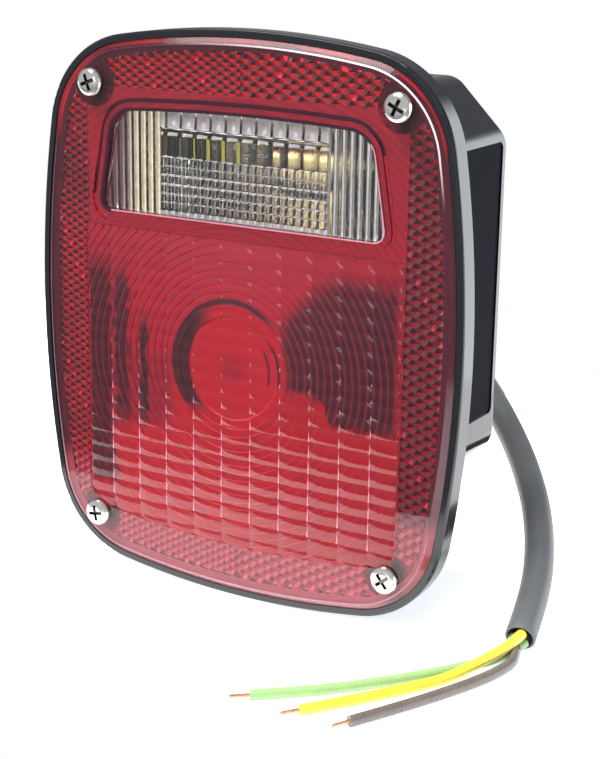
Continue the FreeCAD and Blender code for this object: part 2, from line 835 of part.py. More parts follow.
def make_filaments(name, heights):
    """For each filament two support posts from the cap and a coil across their tops."""
    frames = []
    foot = size("contact_high") + size("base_floor")
    apart = size("post_apart")
    for number, (offset, high) in enumerate(heights, start=1):
        posts = []
        for side in (-1, 1):
            post = doc.addObject("Part::Cylinder", f"{name}_post_{number}_{side + 2}")
            post.setExpression("Radius", "Sizes.post_radius")
            post.Height = high - foot
            post.Placement = Placement(Vector(offset, side * apart, foot), Rotation())
            posts.append(post)
        coil_start = (offset, -apart, high - size("coil_radius"))
        across = Rotation(Vector(1, 0, 0), -90)
        long = "2 * Sizes.post_apart"
        coil = cylinder(f"{name}_coil_{number}", "Sizes.coil_radius", long, coil_start, across)
        pair = joined(f"{name}_frame_{number}", "Fuse", posts[0], coil)
        frames.append(joined(f"{name}_filament_{number}", "Fuse", pair, posts[1]))
    made = doc.addObject("Part::Compound", name + "_filament_set")
    made.Links = frames
    node(made, name + "_bulb_filaments", along_bulb(name))


def make_shell(name, step):
    """The socket's tube, crimped over the bracket's ear, with an L-shaped slot for each pin."""
    outer, bore, rear = size("shell_radius"), size("shell_bore"), -size("shell_rear")
    front, ear = -size("flange_front"), -size("ear_front")
    ear_back = ear - size("plate_thick")
    profile = [
        (size("shell_rear_hole"), rear),
        (outer, rear),
        (outer, ear_back - size("crimp_thick")),
        (size("crimp_radius"), ear_back - size("crimp_thick")),
        (size("crimp_radius"), ear_back),
        (outer, ear_back),
        (outer, ear),
        (size("flange_radius"), ear),
        (size("flange_radius"), front),
        (outer, front),
        (outer, size("shell_mouth")),
        (bore, size("shell_mouth")),
        (bore, rear + size("shell_wall")),
        (size("shell_rear_hole"), rear + size("shell_wall")),
    ]
    pieces = turned(name + "_tube", profile)
    for number, (side, lift) in enumerate(((0, 0.0), (180, step)), start=1):
        pieces = cut_slot(name, number, pieces, side, lift)
    node(pieces, name + "_socket_shell", along_bulb(name))


def cut_slot(name, number, shell, side, lift):
    """Room for a pin to be pushed and turned, and a straight way from there to the mouth."""
    room, radius = size("slot_room"), size("pin_radius")
    low = size("pin_high") + lift - radius - size("push_travel") - room
    margin, turn = size("slot_margin"), size("turn_angle")
    sweep = doc.addObject("Part::Cylinder", f"{name}_turn_room_{number}")
    sweep.setExpression("Radius", "Sizes.pin_reach + Sizes.slot_beyond")
    sweep.setExpression("Height", "2 * Sizes.pin_radius + Sizes.push_travel + 2 * Sizes.slot_room")
    sweep.setExpression("Angle", "Sizes.turn_angle + 2 * Sizes.slot_margin")
    sweep.Placement = Placement(Vector(0, 0, low), Rotation(Vector(0, 0, 1), side - turn - margin))
    entry = doc.addObject("Part::Box", f"{name}_entry_{number}")
    entry.setExpression("Length", "Sizes.pin_reach + Sizes.slot_beyond")
    entry.setExpression("Width", "Sizes.slot_wide")
    entry.Height = size("shell_mouth") - low + size("slot_beyond")
    around = Rotation(Vector(0, 0, 1), side - turn)
    corner = around.multVec(Vector(0, -size("slot_wide") / 2, 0)) + Vector(0, 0, low)
    entry.Placement = Placement(corner, around)
    tool = joined(f"{name}_slot_{number}", "Fuse", sweep, entry)
    return joined(f"{name}_shell_cut_{number}", "Cut", shell, tool)


def make_disc(name, places):
    """The insulating contact disc that the spring holds against the bulb, and its brass contacts."""
    contact, thick = size("disc_contact"), size("disc_thick")
    disc = cylinder(name + "_disc", "Sizes.disc_radius", "Sizes.disc_thick")
    shift = along_bulb(name).multiply(Placement(Vector(0, 0, -contact - thick), Rotation()))
    node(disc, name + "_contact_disc", shift)
    pads = []
    for number, across in enumerate(places, start=1):
        pads.append(
            cylinder(f"{name}_pad_{number}", "Sizes.contact_radius", "Sizes.disc_contact", (0, across, 0))
        )
    made = doc.addObject("Part::Compound", name + "_pads")
    made.Links = pads
    shift = along_bulb(name).multiply(Placement(Vector(0, 0, -contact), Rotation()))
    node(made, name + "_disc_contacts", shift)


def make_spring(name):
    """The coil spring between the socket's rear wall and the contact disc, each turn of two tilted arcs."""
    wire, reach = size("spring_wire"), size("spring_radius")
    low = -size("shell_rear") + size("shell_wall") + wire
    high = -size("disc_contact") - size("disc_thick") - wire
    quarters = 4 * round((high - low) / size("spring_pitch"))
    points = []
    for i in range(quarters + 1):
        turn = math.radians(90 * i)
        points.append(Vector(reach * math.cos(turn), reach * math.sin(turn), (high - low) * i / quarters))
    arcs = [Part.Arc(*points[i : i + 3]).toShape() for i in range(0, quarters, 2)]
    ring = Part.Wire(Part.makeCircle(wire, points[0], Vector(0, 1, 0)))
    spring = doc.addObject("Part::Feature", name + "_spring")
    spring.Shape = Part.Wire(arcs).makePipeShell([ring], True, False)
    shift = along_bulb(name).multiply(Placement(Vector(0, 0, low), Rotation()))
    node(spring, name + "_socket_spring", shift)


def make_bulb_and_socket(name, contacts, filaments, step):
    make_glass(name)
    make_base(name, step)
    make_bulb_contacts(name, contacts)
    make_filaments(name, filaments)
    make_shell(name, step)
    make_disc(name, contacts)
    make_spring(name)


# ---- the lead ----


def path_through(route):
    """Straight runs joined by tangent arcs, each arc as large as its two runs allow."""
    points = [Vector(*p) for p in route]
    edges, radii, start = [], [], points[0]
    for before, corner, after in zip(points, points[1:], points[2:]):
        back, ahead = before - corner, after - corner
        reach = BEND_SHARE * min(back.Length, ahead.Length)
        half_turn = (math.pi - back.getAngle(ahead)) / 2
        radii.append(reach / math.tan(half_turn))
        back.normalize()
        ahead.normalize()
        first, last = corner + back * reach, corner + ahead * reach
        inward = (back + ahead).normalize()
        gap = radii[-1] / math.cos(half_turn) - radii[-1]
        edges.append(Part.LineSegment(start, first).toShape())
        edges.append(Part.Arc(first, corner + inward * gap, last).toShape())
        start = last
    edges.append(Part.LineSegment(start, points[-1]).toShape())
    return Part.Wire(edges), radii


def make_tube(label, route, radius):
    """A plain round solid along a route. Prints its bend radii and compares its volume."""
    path, radii = path_through(route)
    start, ahead = Vector(*route[0]), Vector(*route[1]) - Vector(*route[0])
    ring = Part.Wire(Part.makeCircle(radius, start, ahead))
    solid = path.makePipeShell([ring], True, False)
    share = solid.Volume / (math.pi * radius**2 * path.Length)
    bends = [round(r, 1) for r in radii]
    print(f"{label}: length {path.Length:.1f}, radii {bends}, volume share {share:.4f}")
    tube = doc.addObject("Part::Feature", label)
    tube.Shape = solid
    node(tube, label)
    return tube


def bundle_place(centre, ahead, left, up):
    """A place in a cut end of the sheath, given how far it is to the left and up in that plane."""
    along = Vector(*ahead).normalize()
    leftward = Vector(0, 0, 1).cross(along).normalize()
    upward = along.cross(leftward)
    return tuple(Vector(*centre) + leftward * left + upward * up)


def make_lead():
    make_tube("cable_sheath", SHEATH_ROUTE, size("sheath_radius"))
    last, before = Vector(*SHEATH_ROUTE[-1]), Vector(*SHEATH_ROUTE[-2])
    for colour, ((left, up), route) in OUTER_WIRES.items():
        start = bundle_place(last, before - last, left, up)
        make_tube("wire_" + colour, [start] + route, size("wire_radius"))
        make_copper(colour, route)
    first, second = Vector(*SHEATH_ROUTE[0]), Vector(*SHEATH_ROUTE[1])
    for colour, ((left, up), route) in INNER_WIRES.items():
        start = bundle_place(first, second - first, left, up)
        make_tube("inner_wire_" + colour, [start] + route, size("wire_radius"))


def make_copper(colour, route):
    """The bared strands beyond a wire's cut insulation."""
    end, before = Vector(*route[-1]), Vector(*route[-2])
    turn = Rotation(Vector(0, 0, 1), end - before)
    bare = cylinder("bare_" + colour, "Sizes.copper_radius", "Sizes.copper_long")
    node(bare, "bare_end_" + colour, Placement(end, turn))


# ---- checks and files ----


def check_everything():
    doc.recompute()
    for piece in doc.Objects:
        if "Invalid" in piece.State or "Error" in piece.State:
            raise ValueError(f"{piece.Label}: state {piece.State}")
    for piece in nodes:
        if piece.Shape.isNull() or not piece.Shape.isValid() or not piece.Shape.Solids:
            raise ValueError(f"{piece.Label}: the shape is null or not valid")


def write_parts():
    os.makedirs("parts", exist_ok=True)
    for piece in nodes:
        piece.Shape.exportStep(f"parts/{piece.Label}.step")
    print(len(nodes), "nodes written")


def main():
    fill_sheet()
    make_housing()
    make_lens()
    make_window()
    make_gasket()
    for corner, (across, up, turn) in SCREWS.items():
        make_screw(corner, across, up, turn)
    make_inserts()
    make_studs()
    make_bracket()
    make_grommet()
    apart = size("contact_apart")
    tall = size("glass_centre")
    aside = size("filament_offset")
    tail_filaments = [(-aside, tall), (aside, tall - size("filament_drop"))]
    make_bulb_and_socket("tail", [-apart, apart], tail_filaments, size("pin_step"))
    make_bulb_and_socket("backup", [0.0], [(0.0, tall)], 0.0)
    make_lead()
    check_everything()
    write_parts()


main()
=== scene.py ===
"""The looks of a stud-mounted trailer tail light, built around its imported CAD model.

Millimetres in the helpers, metres in the scene. +X is right seen from the front, +Y to the rear, +Z up.
"""

import math
from functools import reduce

import bmesh
import bpy
from mathutils import Matrix, Vector
from mathutils.geometry import delaunay_2d_cdt


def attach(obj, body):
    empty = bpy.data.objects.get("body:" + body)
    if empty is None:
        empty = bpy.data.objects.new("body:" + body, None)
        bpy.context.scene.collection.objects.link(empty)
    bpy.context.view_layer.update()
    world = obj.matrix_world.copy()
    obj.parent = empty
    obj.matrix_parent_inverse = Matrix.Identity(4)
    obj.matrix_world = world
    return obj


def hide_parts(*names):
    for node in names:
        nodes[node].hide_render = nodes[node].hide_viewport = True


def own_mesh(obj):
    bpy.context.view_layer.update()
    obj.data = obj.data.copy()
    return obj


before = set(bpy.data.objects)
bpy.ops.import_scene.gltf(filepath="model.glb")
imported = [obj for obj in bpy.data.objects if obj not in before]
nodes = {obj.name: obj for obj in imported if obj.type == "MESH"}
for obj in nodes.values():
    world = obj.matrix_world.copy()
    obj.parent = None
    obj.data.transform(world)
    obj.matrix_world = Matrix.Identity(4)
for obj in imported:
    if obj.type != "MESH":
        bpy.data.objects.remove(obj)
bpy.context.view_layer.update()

MM = 0.001
FLOOR = -85.75


# ---- objects and faces ----


def add_object(name, data):
    """Puts an object with this data into the scene."""
    thing = bpy.data.objects.new(name, data)
    bpy.context.scene.collection.objects.link(thing)
    return thing


def new_object(name, vertices, faces, material=None, smooth=False):
    """A mesh object from points in millimetres."""
    mesh = bpy.data.meshes.new(name)
    mesh.from_pydata([Vector(v) * MM for v in vertices], [], faces)
    mesh.validate()
    if smooth:
        mesh.shade_smooth()
    if material:
        mesh.materials.append(material)
    return add_object(name, mesh)


def ring_faces(start, levels, sides):
    """Quads between rings of points that follow each other."""
    faces = []
    for i in range(levels):
        for k in range(sides):
            a, b = start + i * sides + k, start + i * sides + (k + 1) % sides
            faces.append((a, b, b + sides, a + sides))
    return faces


def grid_faces(start, across, rows):
    """Quads between the points of a grid that is stored row by row."""
    corners = [start + j * across + i for j in range(rows - 1) for i in range(across - 1)]
    return [(a, a + 1, a + across + 1, a + across) for a in corners]


# ---- camera, floor and light ----


def looking(place, aim, roll=0.0):
    """A matrix at a place that looks at another, turned about that line by some degrees."""
    turn = (Vector(aim) - Vector(place)).to_track_quat("-Z", "Y").to_matrix().to_4x4()
    return Matrix.Translation(place) @ turn @ Matrix.Rotation(math.radians(roll), 4, "Z")


def add_camera():
    """The photograph's view: from the front, a little above and to the right."""
    data = bpy.data.cameras.new("camera")
    data.lens = 79.87
    data.sensor_width = 36.0
    data.clip_start = 0.01
    camera = add_object("camera", data)
    camera.matrix_world = looking((0.2608, -0.4636, 0.1211), (0.0158, -0.0499, -0.0160), roll=0.88)
    bpy.context.scene.camera = camera


def add_light(name, place, aim, wide, high, power, tilt=0.0):
    data = bpy.data.lights.new(name, "AREA")
    data.shape = "RECTANGLE"
    data.size, data.size_y = wide, high
    data.energy = power
    lamp = add_object(name, data)
    lamp.matrix_world = looking(place, aim, tilt)
    lamp.visible_camera = False


def add_sun(name, toward, strength, soft):
    """A soft overall light that leaves no highlight."""
    data = bpy.data.lights.new(name, "SUN")
    data.energy = strength
    data.angle = math.radians(soft)
    lamp = add_object(name, data)
    lamp.rotation_euler = Vector(toward).to_track_quat("-Z", "Y").to_euler()
    lamp.visible_glossy = False


def add_world():
    """A white background for the camera; for everything else a grey room, with a white panel to the right."""
    world = bpy.data.worlds.new("studio")
    world.use_nodes = True
    tree = world.node_tree
    tree.nodes.clear()
    out = tree.nodes.new("ShaderNodeOutputWorld")
    seen, room = tree.nodes.new("ShaderNodeBackground"), tree.nodes.new("ShaderNodeBackground")
    seen.inputs["Color"].default_value = (1, 1, 1, 1)
    seen.inputs["Strength"].default_value = 1.0
    room.inputs["Color"].default_value = (0.90, 0.95, 1, 1)
    parts = tree.nodes.new("ShaderNodeSeparateXYZ")
    tree.links.new(tree.nodes.new("ShaderNodeTexCoord").outputs["Generated"], parts.inputs[0])

    def step(source, low, high, start, end):
        made = tree.nodes.new("ShaderNodeMapRange")
        made.interpolation_type = "SMOOTHSTEP"
        tree.links.new(source, made.inputs["Value"])
        for key, value in (("From Min", low), ("From Max", high), ("To Min", start), ("To Max", end)):
            made.inputs[key].default_value = value
        return made.outputs[0]

    def join(operation, a, b):
        made = tree.nodes.new("ShaderNodeMath")
        made.operation = operation
        tree.links.new(a, made.inputs[0])
        tree.links.new(b, made.inputs[1])
        return made.outputs[0]

    mix, path = tree.nodes.new("ShaderNodeMixShader"), tree.nodes.new("ShaderNodeLightPath")
    right, back, height = (parts.outputs[axis] for axis in "XYZ")
    level = join("MULTIPLY", step(height, -0.40, -0.28, 0.0, 1.0), step(height, 0.25, 0.42, 1.0, 0.0))
    beside = join("MULTIPLY", step(right, 0.12, 0.26, 0.0, 3.8), step(back, -0.1, 0.2, 0.0, 1.0))
    panel = join("MULTIPLY", path.outputs["Is Glossy Ray"], join("MULTIPLY", beside, level))
    ahead = step(back, -0.3, 0.2, 0.62, 0.34)
    light = join("ADD", panel, join("MULTIPLY", ahead, step(height, -0.40, -0.10, 0.6, 1.0)))
    tree.links.new(light, room.inputs["Strength"])
    tree.links.new(path.outputs["Is Camera Ray"], mix.inputs[0])
    tree.links.new(room.outputs[0], mix.inputs[1])
    tree.links.new(seen.outputs[0], mix.inputs[2])
    tree.links.new(mix.outputs[0], out.inputs[0])
    bpy.context.scene.world = world


def add_floor():
    """A white sheet whose ends lie just outside the view, so that the lens and the walls mirror them."""
    white, glow = (0.86, 0.86, 0.86), (0.92, 0.95, 1)
    look = Look("paper", base_color=white, roughness=0.6, emission_color=glow, emission_strength=0.8)
    look.bump(look.noise(700.0), 0.05, 0.0002)
    corners = [(-1500, 179), (1500, -484), (1500, 190), (-200, 190), (-1500, 600)]
    places = [(x, y, FLOOR) for x, y in corners]
    new_object("floor", places, [tuple(range(len(corners)))], look.material)


def set_stage():
    add_camera()
    add_world()
    add_floor()
    add_sun("overhead", (0.22, 0.20, -1.0), 6.2, 40)
    add_sun("front", (0.30, 0.80, -0.45), 2.0, 30)
    add_light("upper_box", (-0.42, -0.50, 1.15), (0.0, 0.0, 0.0), 0.9, 0.5, 7.0)
    add_light("low_strip", (-0.16, -1.25, 0.02), (0.05, -0.06, 0.07), 0.08, 0.60, 0.35, tilt=42)
    bpy.context.scene.view_settings.view_transform = "Standard"


# ---- materials ----


class Look:
    """A Principled material whose inputs can be fed by nodes, placed by the row frame."""

    def __init__(self, name, **values):
        self.material = bpy.data.materials.new(name)
        self.material.use_nodes = True
        self.tree = self.material.node_tree
        self.shader = self.tree.nodes["Principled BSDF"]
        for key, value in values.items():
            socket = key.replace("_", " ").title().replace("Ior", "IOR")
            self.shader.inputs[socket].default_value = (*value, 1.0) if isinstance(value, tuple) else value
        self.coords = self.tree.nodes.new("ShaderNodeTexCoord").outputs["Object"]

    def node(self, kind, inputs, **settings):
        """A node whose inputs are other nodes' outputs, numbers or colours."""
        made = self.tree.nodes.new("ShaderNode" + kind)
        for key, value in settings.items():
            setattr(made, key, value)
        for key, value in inputs.items():
            if isinstance(value, bpy.types.NodeSocket):
                self.tree.links.new(value, made.inputs[key])
            else:
                made.inputs[key].default_value = (*value, 1.0) if isinstance(value, tuple) else value
        return made

    def feed(self, socket, source):
        self.tree.links.new(source, self.shader.inputs[socket])

    def noise(self, scale, detail=2.0, rough=0.5):
        inputs = {"Vector": self.coords, "Scale": scale, "Detail": detail, "Roughness": rough}
        return self.node("TexNoise", inputs).outputs["Fac"]

    def ramp(self, source, *stops):
        made = self.node("ValToRGB", {"Fac": source})
        elements = made.color_ramp.elements
        while len(elements) < len(stops):
            elements.new(0.5)
        for element, (place, colour) in zip(elements, stops):
            element.position = place
            element.color = (*colour, 1.0)
        return made.outputs["Color"]

    def span(self, source, low, high, to_low, to_high):
        """One range stretched to another, and clamped."""
        values = {"Value": source, "From Min": low, "From Max": high, "To Min": to_low, "To Max": to_high}
        return self.node("MapRange", values).outputs["Result"]

    def rise(self, source, low, high):
        """A smooth step from nought to one."""
        values = {"Value": source, "From Min": low, "From Max": high}
        return self.node("MapRange", values, interpolation_type="SMOOTHSTEP").outputs["Result"]

    def between(self, source, low, high, soft):
        below = self.rise(source, low - soft, low + soft)
        return self.times(below, self.rise(source, high + soft, high - soft))

    def maths(self, operation, a, b=0.0):
        return self.node("Math", {0: a, 1: b}, operation=operation).outputs[0]

    def times(self, *sources):
        return reduce(lambda a, b: self.maths("MULTIPLY", a, b), sources)

    def most(self, *sources):
        return reduce(lambda a, b: self.maths("MAXIMUM", a, b), sources)

    def size(self, source):
        return self.maths("ABSOLUTE", source)

    def near(self, source, centre, reach):
        """One where a value is within reach of a centre, and nought elsewhere."""
        return self.maths("LESS_THAN", self.size(self.maths("SUBTRACT", source, centre)), reach)

    def distance(self, across, up):
        return self.maths("SQRT", self.maths("ADD", self.times(across, across), self.times(up, up)))

    def blend(self, share, a, b):
        return self.node("Mix", {0: share, 6: a, 7: b}, data_type="RGBA").outputs[2]

    def axes(self):
        """The place of each point, in millimetres."""
        parts = self.node("SeparateXYZ", {"Vector": self.coords})
        return [self.times(part, 1000.0) for part in parts.outputs]

    def bump(self, height, strength, distance):
        inputs = {"Height": height, "Strength": strength, "Distance": distance}
        self.feed("Normal", self.node("Bump", inputs).outputs["Normal"])

    def wear(self, source, smooth, rough, low=0.3, high=0.75):
        """Roughness that follows a noise from its low to its high values."""
        self.feed("Roughness", self.span(source, low, high, smooth, rough))
        return source


def dress(name, material):
    """Gives a CAD node its material."""
    mesh = nodes[name].data
    mesh.materials.clear()
    mesh.materials.append(material)


# ---- the housing ----


def black_plastic():
    """Moulded black ABS: glossy borders, with a fine grain inside the recessed side panels."""
    look = Look("black_abs", base_color=(0.006, 0.0062, 0.008), specular_ior_level=0.5)
    x, y, z = look.axes()
    side = look.near(look.size(x), 56.4, 0.3)
    panel = look.times(side, look.near(y, -26.8, 23.6), look.near(z, 11.0, 41.8))
    grain = look.noise(2600.0, 3.0, 0.6)
    orange_peel = look.noise(140.0)
    smooth = look.span(look.noise(900.0, 4.0, 0.7), 0.35, 0.75, 0.07, 0.2)
    inside = look.times(panel, look.span(grain, 0.3, 0.7, 0.34, 0.5))
    outside = look.times(look.maths("SUBTRACT", 1.0, panel), smooth)
    look.feed("Roughness", look.maths("ADD", inside, outside))
    look.bump(look.maths("ADD", look.times(grain, panel), look.times(orange_peel, 0.35)), 0.35, 0.0001)
    return look.material


def grained_plastic():
    """The spark-eroded texture inside the housing's recessed sides."""
    look = Look("grained_abs", roughness=0.6, specular_ior_level=0.02)
    grain = look.noise(1500.0, 4.0, 0.7)
    valley, hill, speck = (0.004, 0.0045, 0.007), (0.010, 0.011, 0.016), (0.06, 0.065, 0.07)
    look.feed("Base Color", look.ramp(grain, (0.45, valley), (0.68, hill), (0.76, speck)))
    look.bump(grain, 0.6, 0.0001)
    return look.material


def add_side_grain():
    """A skin in each recessed side of the housing, with its corners rounded."""
    look = grained_plastic()
    front, rear, low, high = -50.2, -3.3, -30.7, 52.7
    skin_face, skin_back, corner = 56.52, 56.32, 1.5
    outline = rounded([(front, low), (rear, low), (rear, high), (front, high)], [corner] * 4)
    count = len(outline)
    for side, name in ((-1, "left"), (1, "right")):
        points = [(side * across, y, z) for across in (skin_face, skin_back) for y, z in outline]
        faces = [tuple(range(count)), tuple(range(2 * count - 1, count - 1, -1))]
        faces += [(i, i + count, (i + 1) % count + count, (i + 1) % count) for i in range(count)]
        if side < 0:
            faces = [tuple(reversed(face)) for face in faces]
        skin = new_object("side_grain_" + name, points, faces, look)
        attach(skin, "lamp_housing")


# ---- the lead: its route repeats the CAD route ----

SHEATH_ROUTE = [
    (10.0, -8.0, 0.0),
    (10.0, 7.0, 0.0),
    (10.8, 20.5, -2.5),
    (14.5, 32.0, -10.0),
    (21.0, 40.0, -20.5),
    (30.0, 42.0, -32.0),
    (41.0, 38.0, -42.0),
    (52.0, 27.5, -48.5),
    (63.5, 12.0, -52.5),
    (75.0, -5.0, -58.5),
    (83.0, -20.0, -67.0),
    (87.5, -34.5, -75.5),
    (90.0, -49.5, -81.2),
]
SHEATH_LENGTH, SHEATH_RADIUS, SHEATH_BORE = 196.8, 4.45, 3.65
WIRE_RADIUS = 1.55
WIRE_FLOOR = FLOOR + WIRE_RADIUS
# each wire's place in the sheath's mouth, to the left and up, then its route
OUTER_WIRES = {
    "yellow": (
        (0.7, 1.75),
        [
            (89.8, -58.0, -81.0),
            (86.3, -67.5, -82.3),
            (81.5, -78.5, WIRE_FLOOR),
            (74.7, -90.5, WIRE_FLOOR),
            (66.2, -103.5, WIRE_FLOOR),
            (56.6, -116.7, WIRE_FLOOR),
        ],
    ),
    "brown": (
        (-1.95, -0.1),
        [
            (93.2, -57.3, -83.4),
            (91.5, -67.5, WIRE_FLOOR),
            (88.0, -78.5, WIRE_FLOOR),
            (83.2, -90.0, WIRE_FLOOR),
            (77.4, -102.3, WIRE_FLOOR),
            (70.9, -115.1, WIRE_FLOOR),
        ],
    ),
    "green": (
        (1.3, -1.4),
        [
            (88.6, -57.0, WIRE_FLOOR),
            (84.0, -66.5, WIRE_FLOOR),
            (75.4, -79.7, WIRE_FLOOR),
            (64.6, -93.6, WIRE_FLOOR),
            (52.9, -106.1, WIRE_FLOOR),
            (40.8, -116.4, WIRE_FLOOR),
        ],
    ),
}
WIRE_COLOURS = {
    "yellow": ((0.66, 0.56, 0.03), (0.76, 0.67, 0.06)),
    "green": ((0.20, 0.34, 0.13), (0.27, 0.43, 0.18)),
    "brown": ((0.085, 0.068, 0.058), (0.14, 0.115, 0.10)),
}


def bundle_place(centre, ahead, left, up):
    """A place in a cut end of the sheath, given how far it is to the left and up in that plane."""
    along = Vector(ahead).normalized()
    leftward = Vector((0, 0, 1)).cross(along).normalized()
    return Vector(centre) + leftward * left + along.cross(leftward) * up


def route_curve(name, points, radius, material=None):
    """A smooth NURBS line with the route's points as its control points."""
    data = bpy.data.curves.new(name, "CURVE")
    data.dimensions = "3D"
    data.resolution_u = 12
    data.bevel_depth = radius * MM
    data.bevel_resolution = 6
    data.use_fill_caps = True
    spline = data.splines.new("NURBS")
    spline.points.add(len(points) - 1)
    for point, place in zip(spline.points, points):
        point.co = (*(Vector(place) * MM), 1.0)
    spline.order_u = 3
    spline.use_endpoint_u = True
    if material:
        data.materials.append(material)
    return add_object(name, data)


def line_points(curve):
    """The points along a curve that has no bevel."""
    bpy.context.view_layer.update()
    mesh = bpy.data.meshes.new_from_object(curve)
    points = [v.co.copy() for v in mesh.vertices]
    bpy.data.meshes.remove(mesh)
    return points


def frames_along(points):
    """At each point its place, two steady cross directions, and the way ahead."""
    side, found = Vector((0, 0, 1)), []
    for i, place in enumerate(points):
        ahead = (points[min(i + 1, len(points) - 1)] - points[max(i - 1, 0)]).normalized()
        side = (side - ahead * side.dot(ahead)).normalized()
        found.append((place, side, ahead.cross(side), ahead))
    return found


def hollow_tube(name, points, outer, inner, deep, material, sides=40):
    """A tube along points, in metres, whose far end is an open mouth."""
    soft = 0.25 * MM
    stations = frames_along(points)
    rings = [(place, side, up, outer) for place, side, up, _ in stations[:-1]]
    place, side, up, ahead = stations[-1]
    lip = place - ahead * soft
    rings += [(lip, side, up, outer), (place, side, up, outer - soft), (place, side, up, inner + soft)]
    rings.append((lip, side, up, inner))
    inside = [s for s in reversed(stations) if (s[0] - place).length < deep]
    rings += [(p, s, u, inner) for p, s, u, _ in inside[1:]]
    vertices = []
    for centre, s, u, radius in rings:
        for k in range(sides):
            turn = 2 * math.pi * k / sides
            vertices.append((centre + (s * math.cos(turn) + u * math.sin(turn)) * radius) / MM)
    faces = ring_faces(0, len(rings) - 1, sides)
    faces.append(tuple(reversed(range(sides))))
    faces.append(tuple(range(len(vertices) - sides, len(vertices))))
    return new_object(name, vertices, faces, material, smooth=True)


def sheath_vinyl():
    look = Look("sheath_vinyl", base_color=(0.05, 0.051, 0.054), roughness=0.42, specular_ior_level=0.45)
    look.feed("Base Color", look.blend(look.noise(60.0, 3.0), (0.070, 0.073, 0.076), (0.125, 0.128, 0.130)))
    fine = look.wear(look.noise(1900.0, 3.0, 0.65), 0.34, 0.55, 0.3, 0.7)
    look.bump(fine, 0.3, 0.00012)
    return look.material


def wire_vinyl(colour, dark, light):
    look = Look(colour + "_vinyl", roughness=0.3, coat_weight=0.25, coat_roughness=0.15)
    look.feed("Base Color", look.blend(look.noise(220.0, 3.0), dark, light))
    scuffs = look.wear(look.noise(1500.0, 4.0, 0.7), 0.2, 0.42)
    look.bump(scuffs, 0.12, 0.00005)
    return look.material


def copper():
    look = Look("copper", metallic=1.0, roughness=0.3)
    look.feed("Base Color", look.blend(look.noise(1200.0), (0.75, 0.33, 0.19), (0.98, 0.62, 0.42)))
    look.wear(look.noise(2400.0), 0.22, 0.45, 0.3, 0.7)
    return look.material


def add_strands(colour, route, material):
    """Nineteen copper strands, twisted together and a little frayed at the cut."""
    end, before = Vector(route[-1]), Vector(route[-2])
    ahead = (end - before).normalized()
    side = Vector((0, 0, 1)).cross(ahead).normalized()
    up = ahead.cross(side)
    strand, long, frayed, inside, twist = 0.13, 5.5, 0.35, 1.0, 60.0
    steps, sides = 14, 6
    places = [(0.0, 0.0)] + [(0.26, 60.0 * k) for k in range(6)] + [(0.47, 30.0 * k) for k in range(12)]
    vertices, faces = [], []
    for number, (reach, angle) in enumerate(places):
        start = len(vertices)
        cut = long - frayed * ((number * 7) % 5) / 4
        for i in range(steps + 1):
            along = -inside + (cut + inside) * i / steps
            turn = math.radians(angle + twist * along)
            centre = end + ahead * along + (side * math.cos(turn) + up * math.sin(turn)) * reach
            for k in range(sides):
                around = 2 * math.pi * k / sides
                vertices.append(centre + (side * math.cos(around) + up * math.sin(around)) * strand)
        faces += ring_faces(start, steps, sides)
        faces.append(tuple(reversed(range(start, start + sides))))
        faces.append(tuple(range(start + steps * sides, start + (steps + 1) * sides)))
    strands = new_object("strands_" + colour, vertices, faces, material, smooth=True)
    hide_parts("bare_end_" + colour)
    return strands


def add_lead():
    """The sheath, its three wires and their bared ends."""
    guide = route_curve("sheath_line", SHEATH_ROUTE, 0.0)
    points = line_points(guide)
    bpy.data.objects.remove(guide)
    mouth_depth = 24.0
    sheath = hollow_tube(
        "cable_cover", points, SHEATH_RADIUS * MM, SHEATH_BORE * MM, mouth_depth * MM, sheath_vinyl()
    )
    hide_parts("cable_sheath")
    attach(sheath, "lamp_housing")
    far, near = SHEATH_ROUTE[-1], SHEATH_ROUTE[-2]
    heading = Vector(far) - Vector(near)
    strand_metal = copper()
    for colour, ((left, up), route) in OUTER_WIRES.items():
        start = bundle_place(far, heading, left, up)
        look = wire_vinyl(colour, *WIRE_COLOURS[colour])
        wire = route_curve("lead_" + colour, [start] + route, WIRE_RADIUS, look)
        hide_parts("wire_" + colour)
        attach(wire, "lamp_housing")
        strands = add_strands(colour, route, strand_metal)
        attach(strands, "lamp_housing")
        dress("inner_wire_" + colour, look)


# ---- outlines and sheets for the lens ----

FRONT, BEVEL_EDGE, LENS_BACK = -60.7, -59.2, -57.7
SCREW_PLACES = [(sx * 51.7, sz * 68.0) for sx in (-1, 1) for sz in (-1, 1)]
# the window's outline: half its width, its level and its corners, below and above
WINDOW_LOW, WINDOW_HIGH = (48.5, 30.5, 3.0), (43.5, 61.5, 7.5)
WINDOW_DROP, DROP_AT = 1.7, 45.0


def arc(centre, radius, start, end, steps):
    """Points of an arc, from one angle to another in radians."""
    (x, z), turns = centre, [start + (end - start) * i / steps for i in range(steps + 1)]
    return [(x + radius * math.cos(t), z + radius * math.sin(t)) for t in turns]


def circle(centre, radius, steps=32):
    return arc(centre, radius, 0, 2 * math.pi, steps)[:-1]


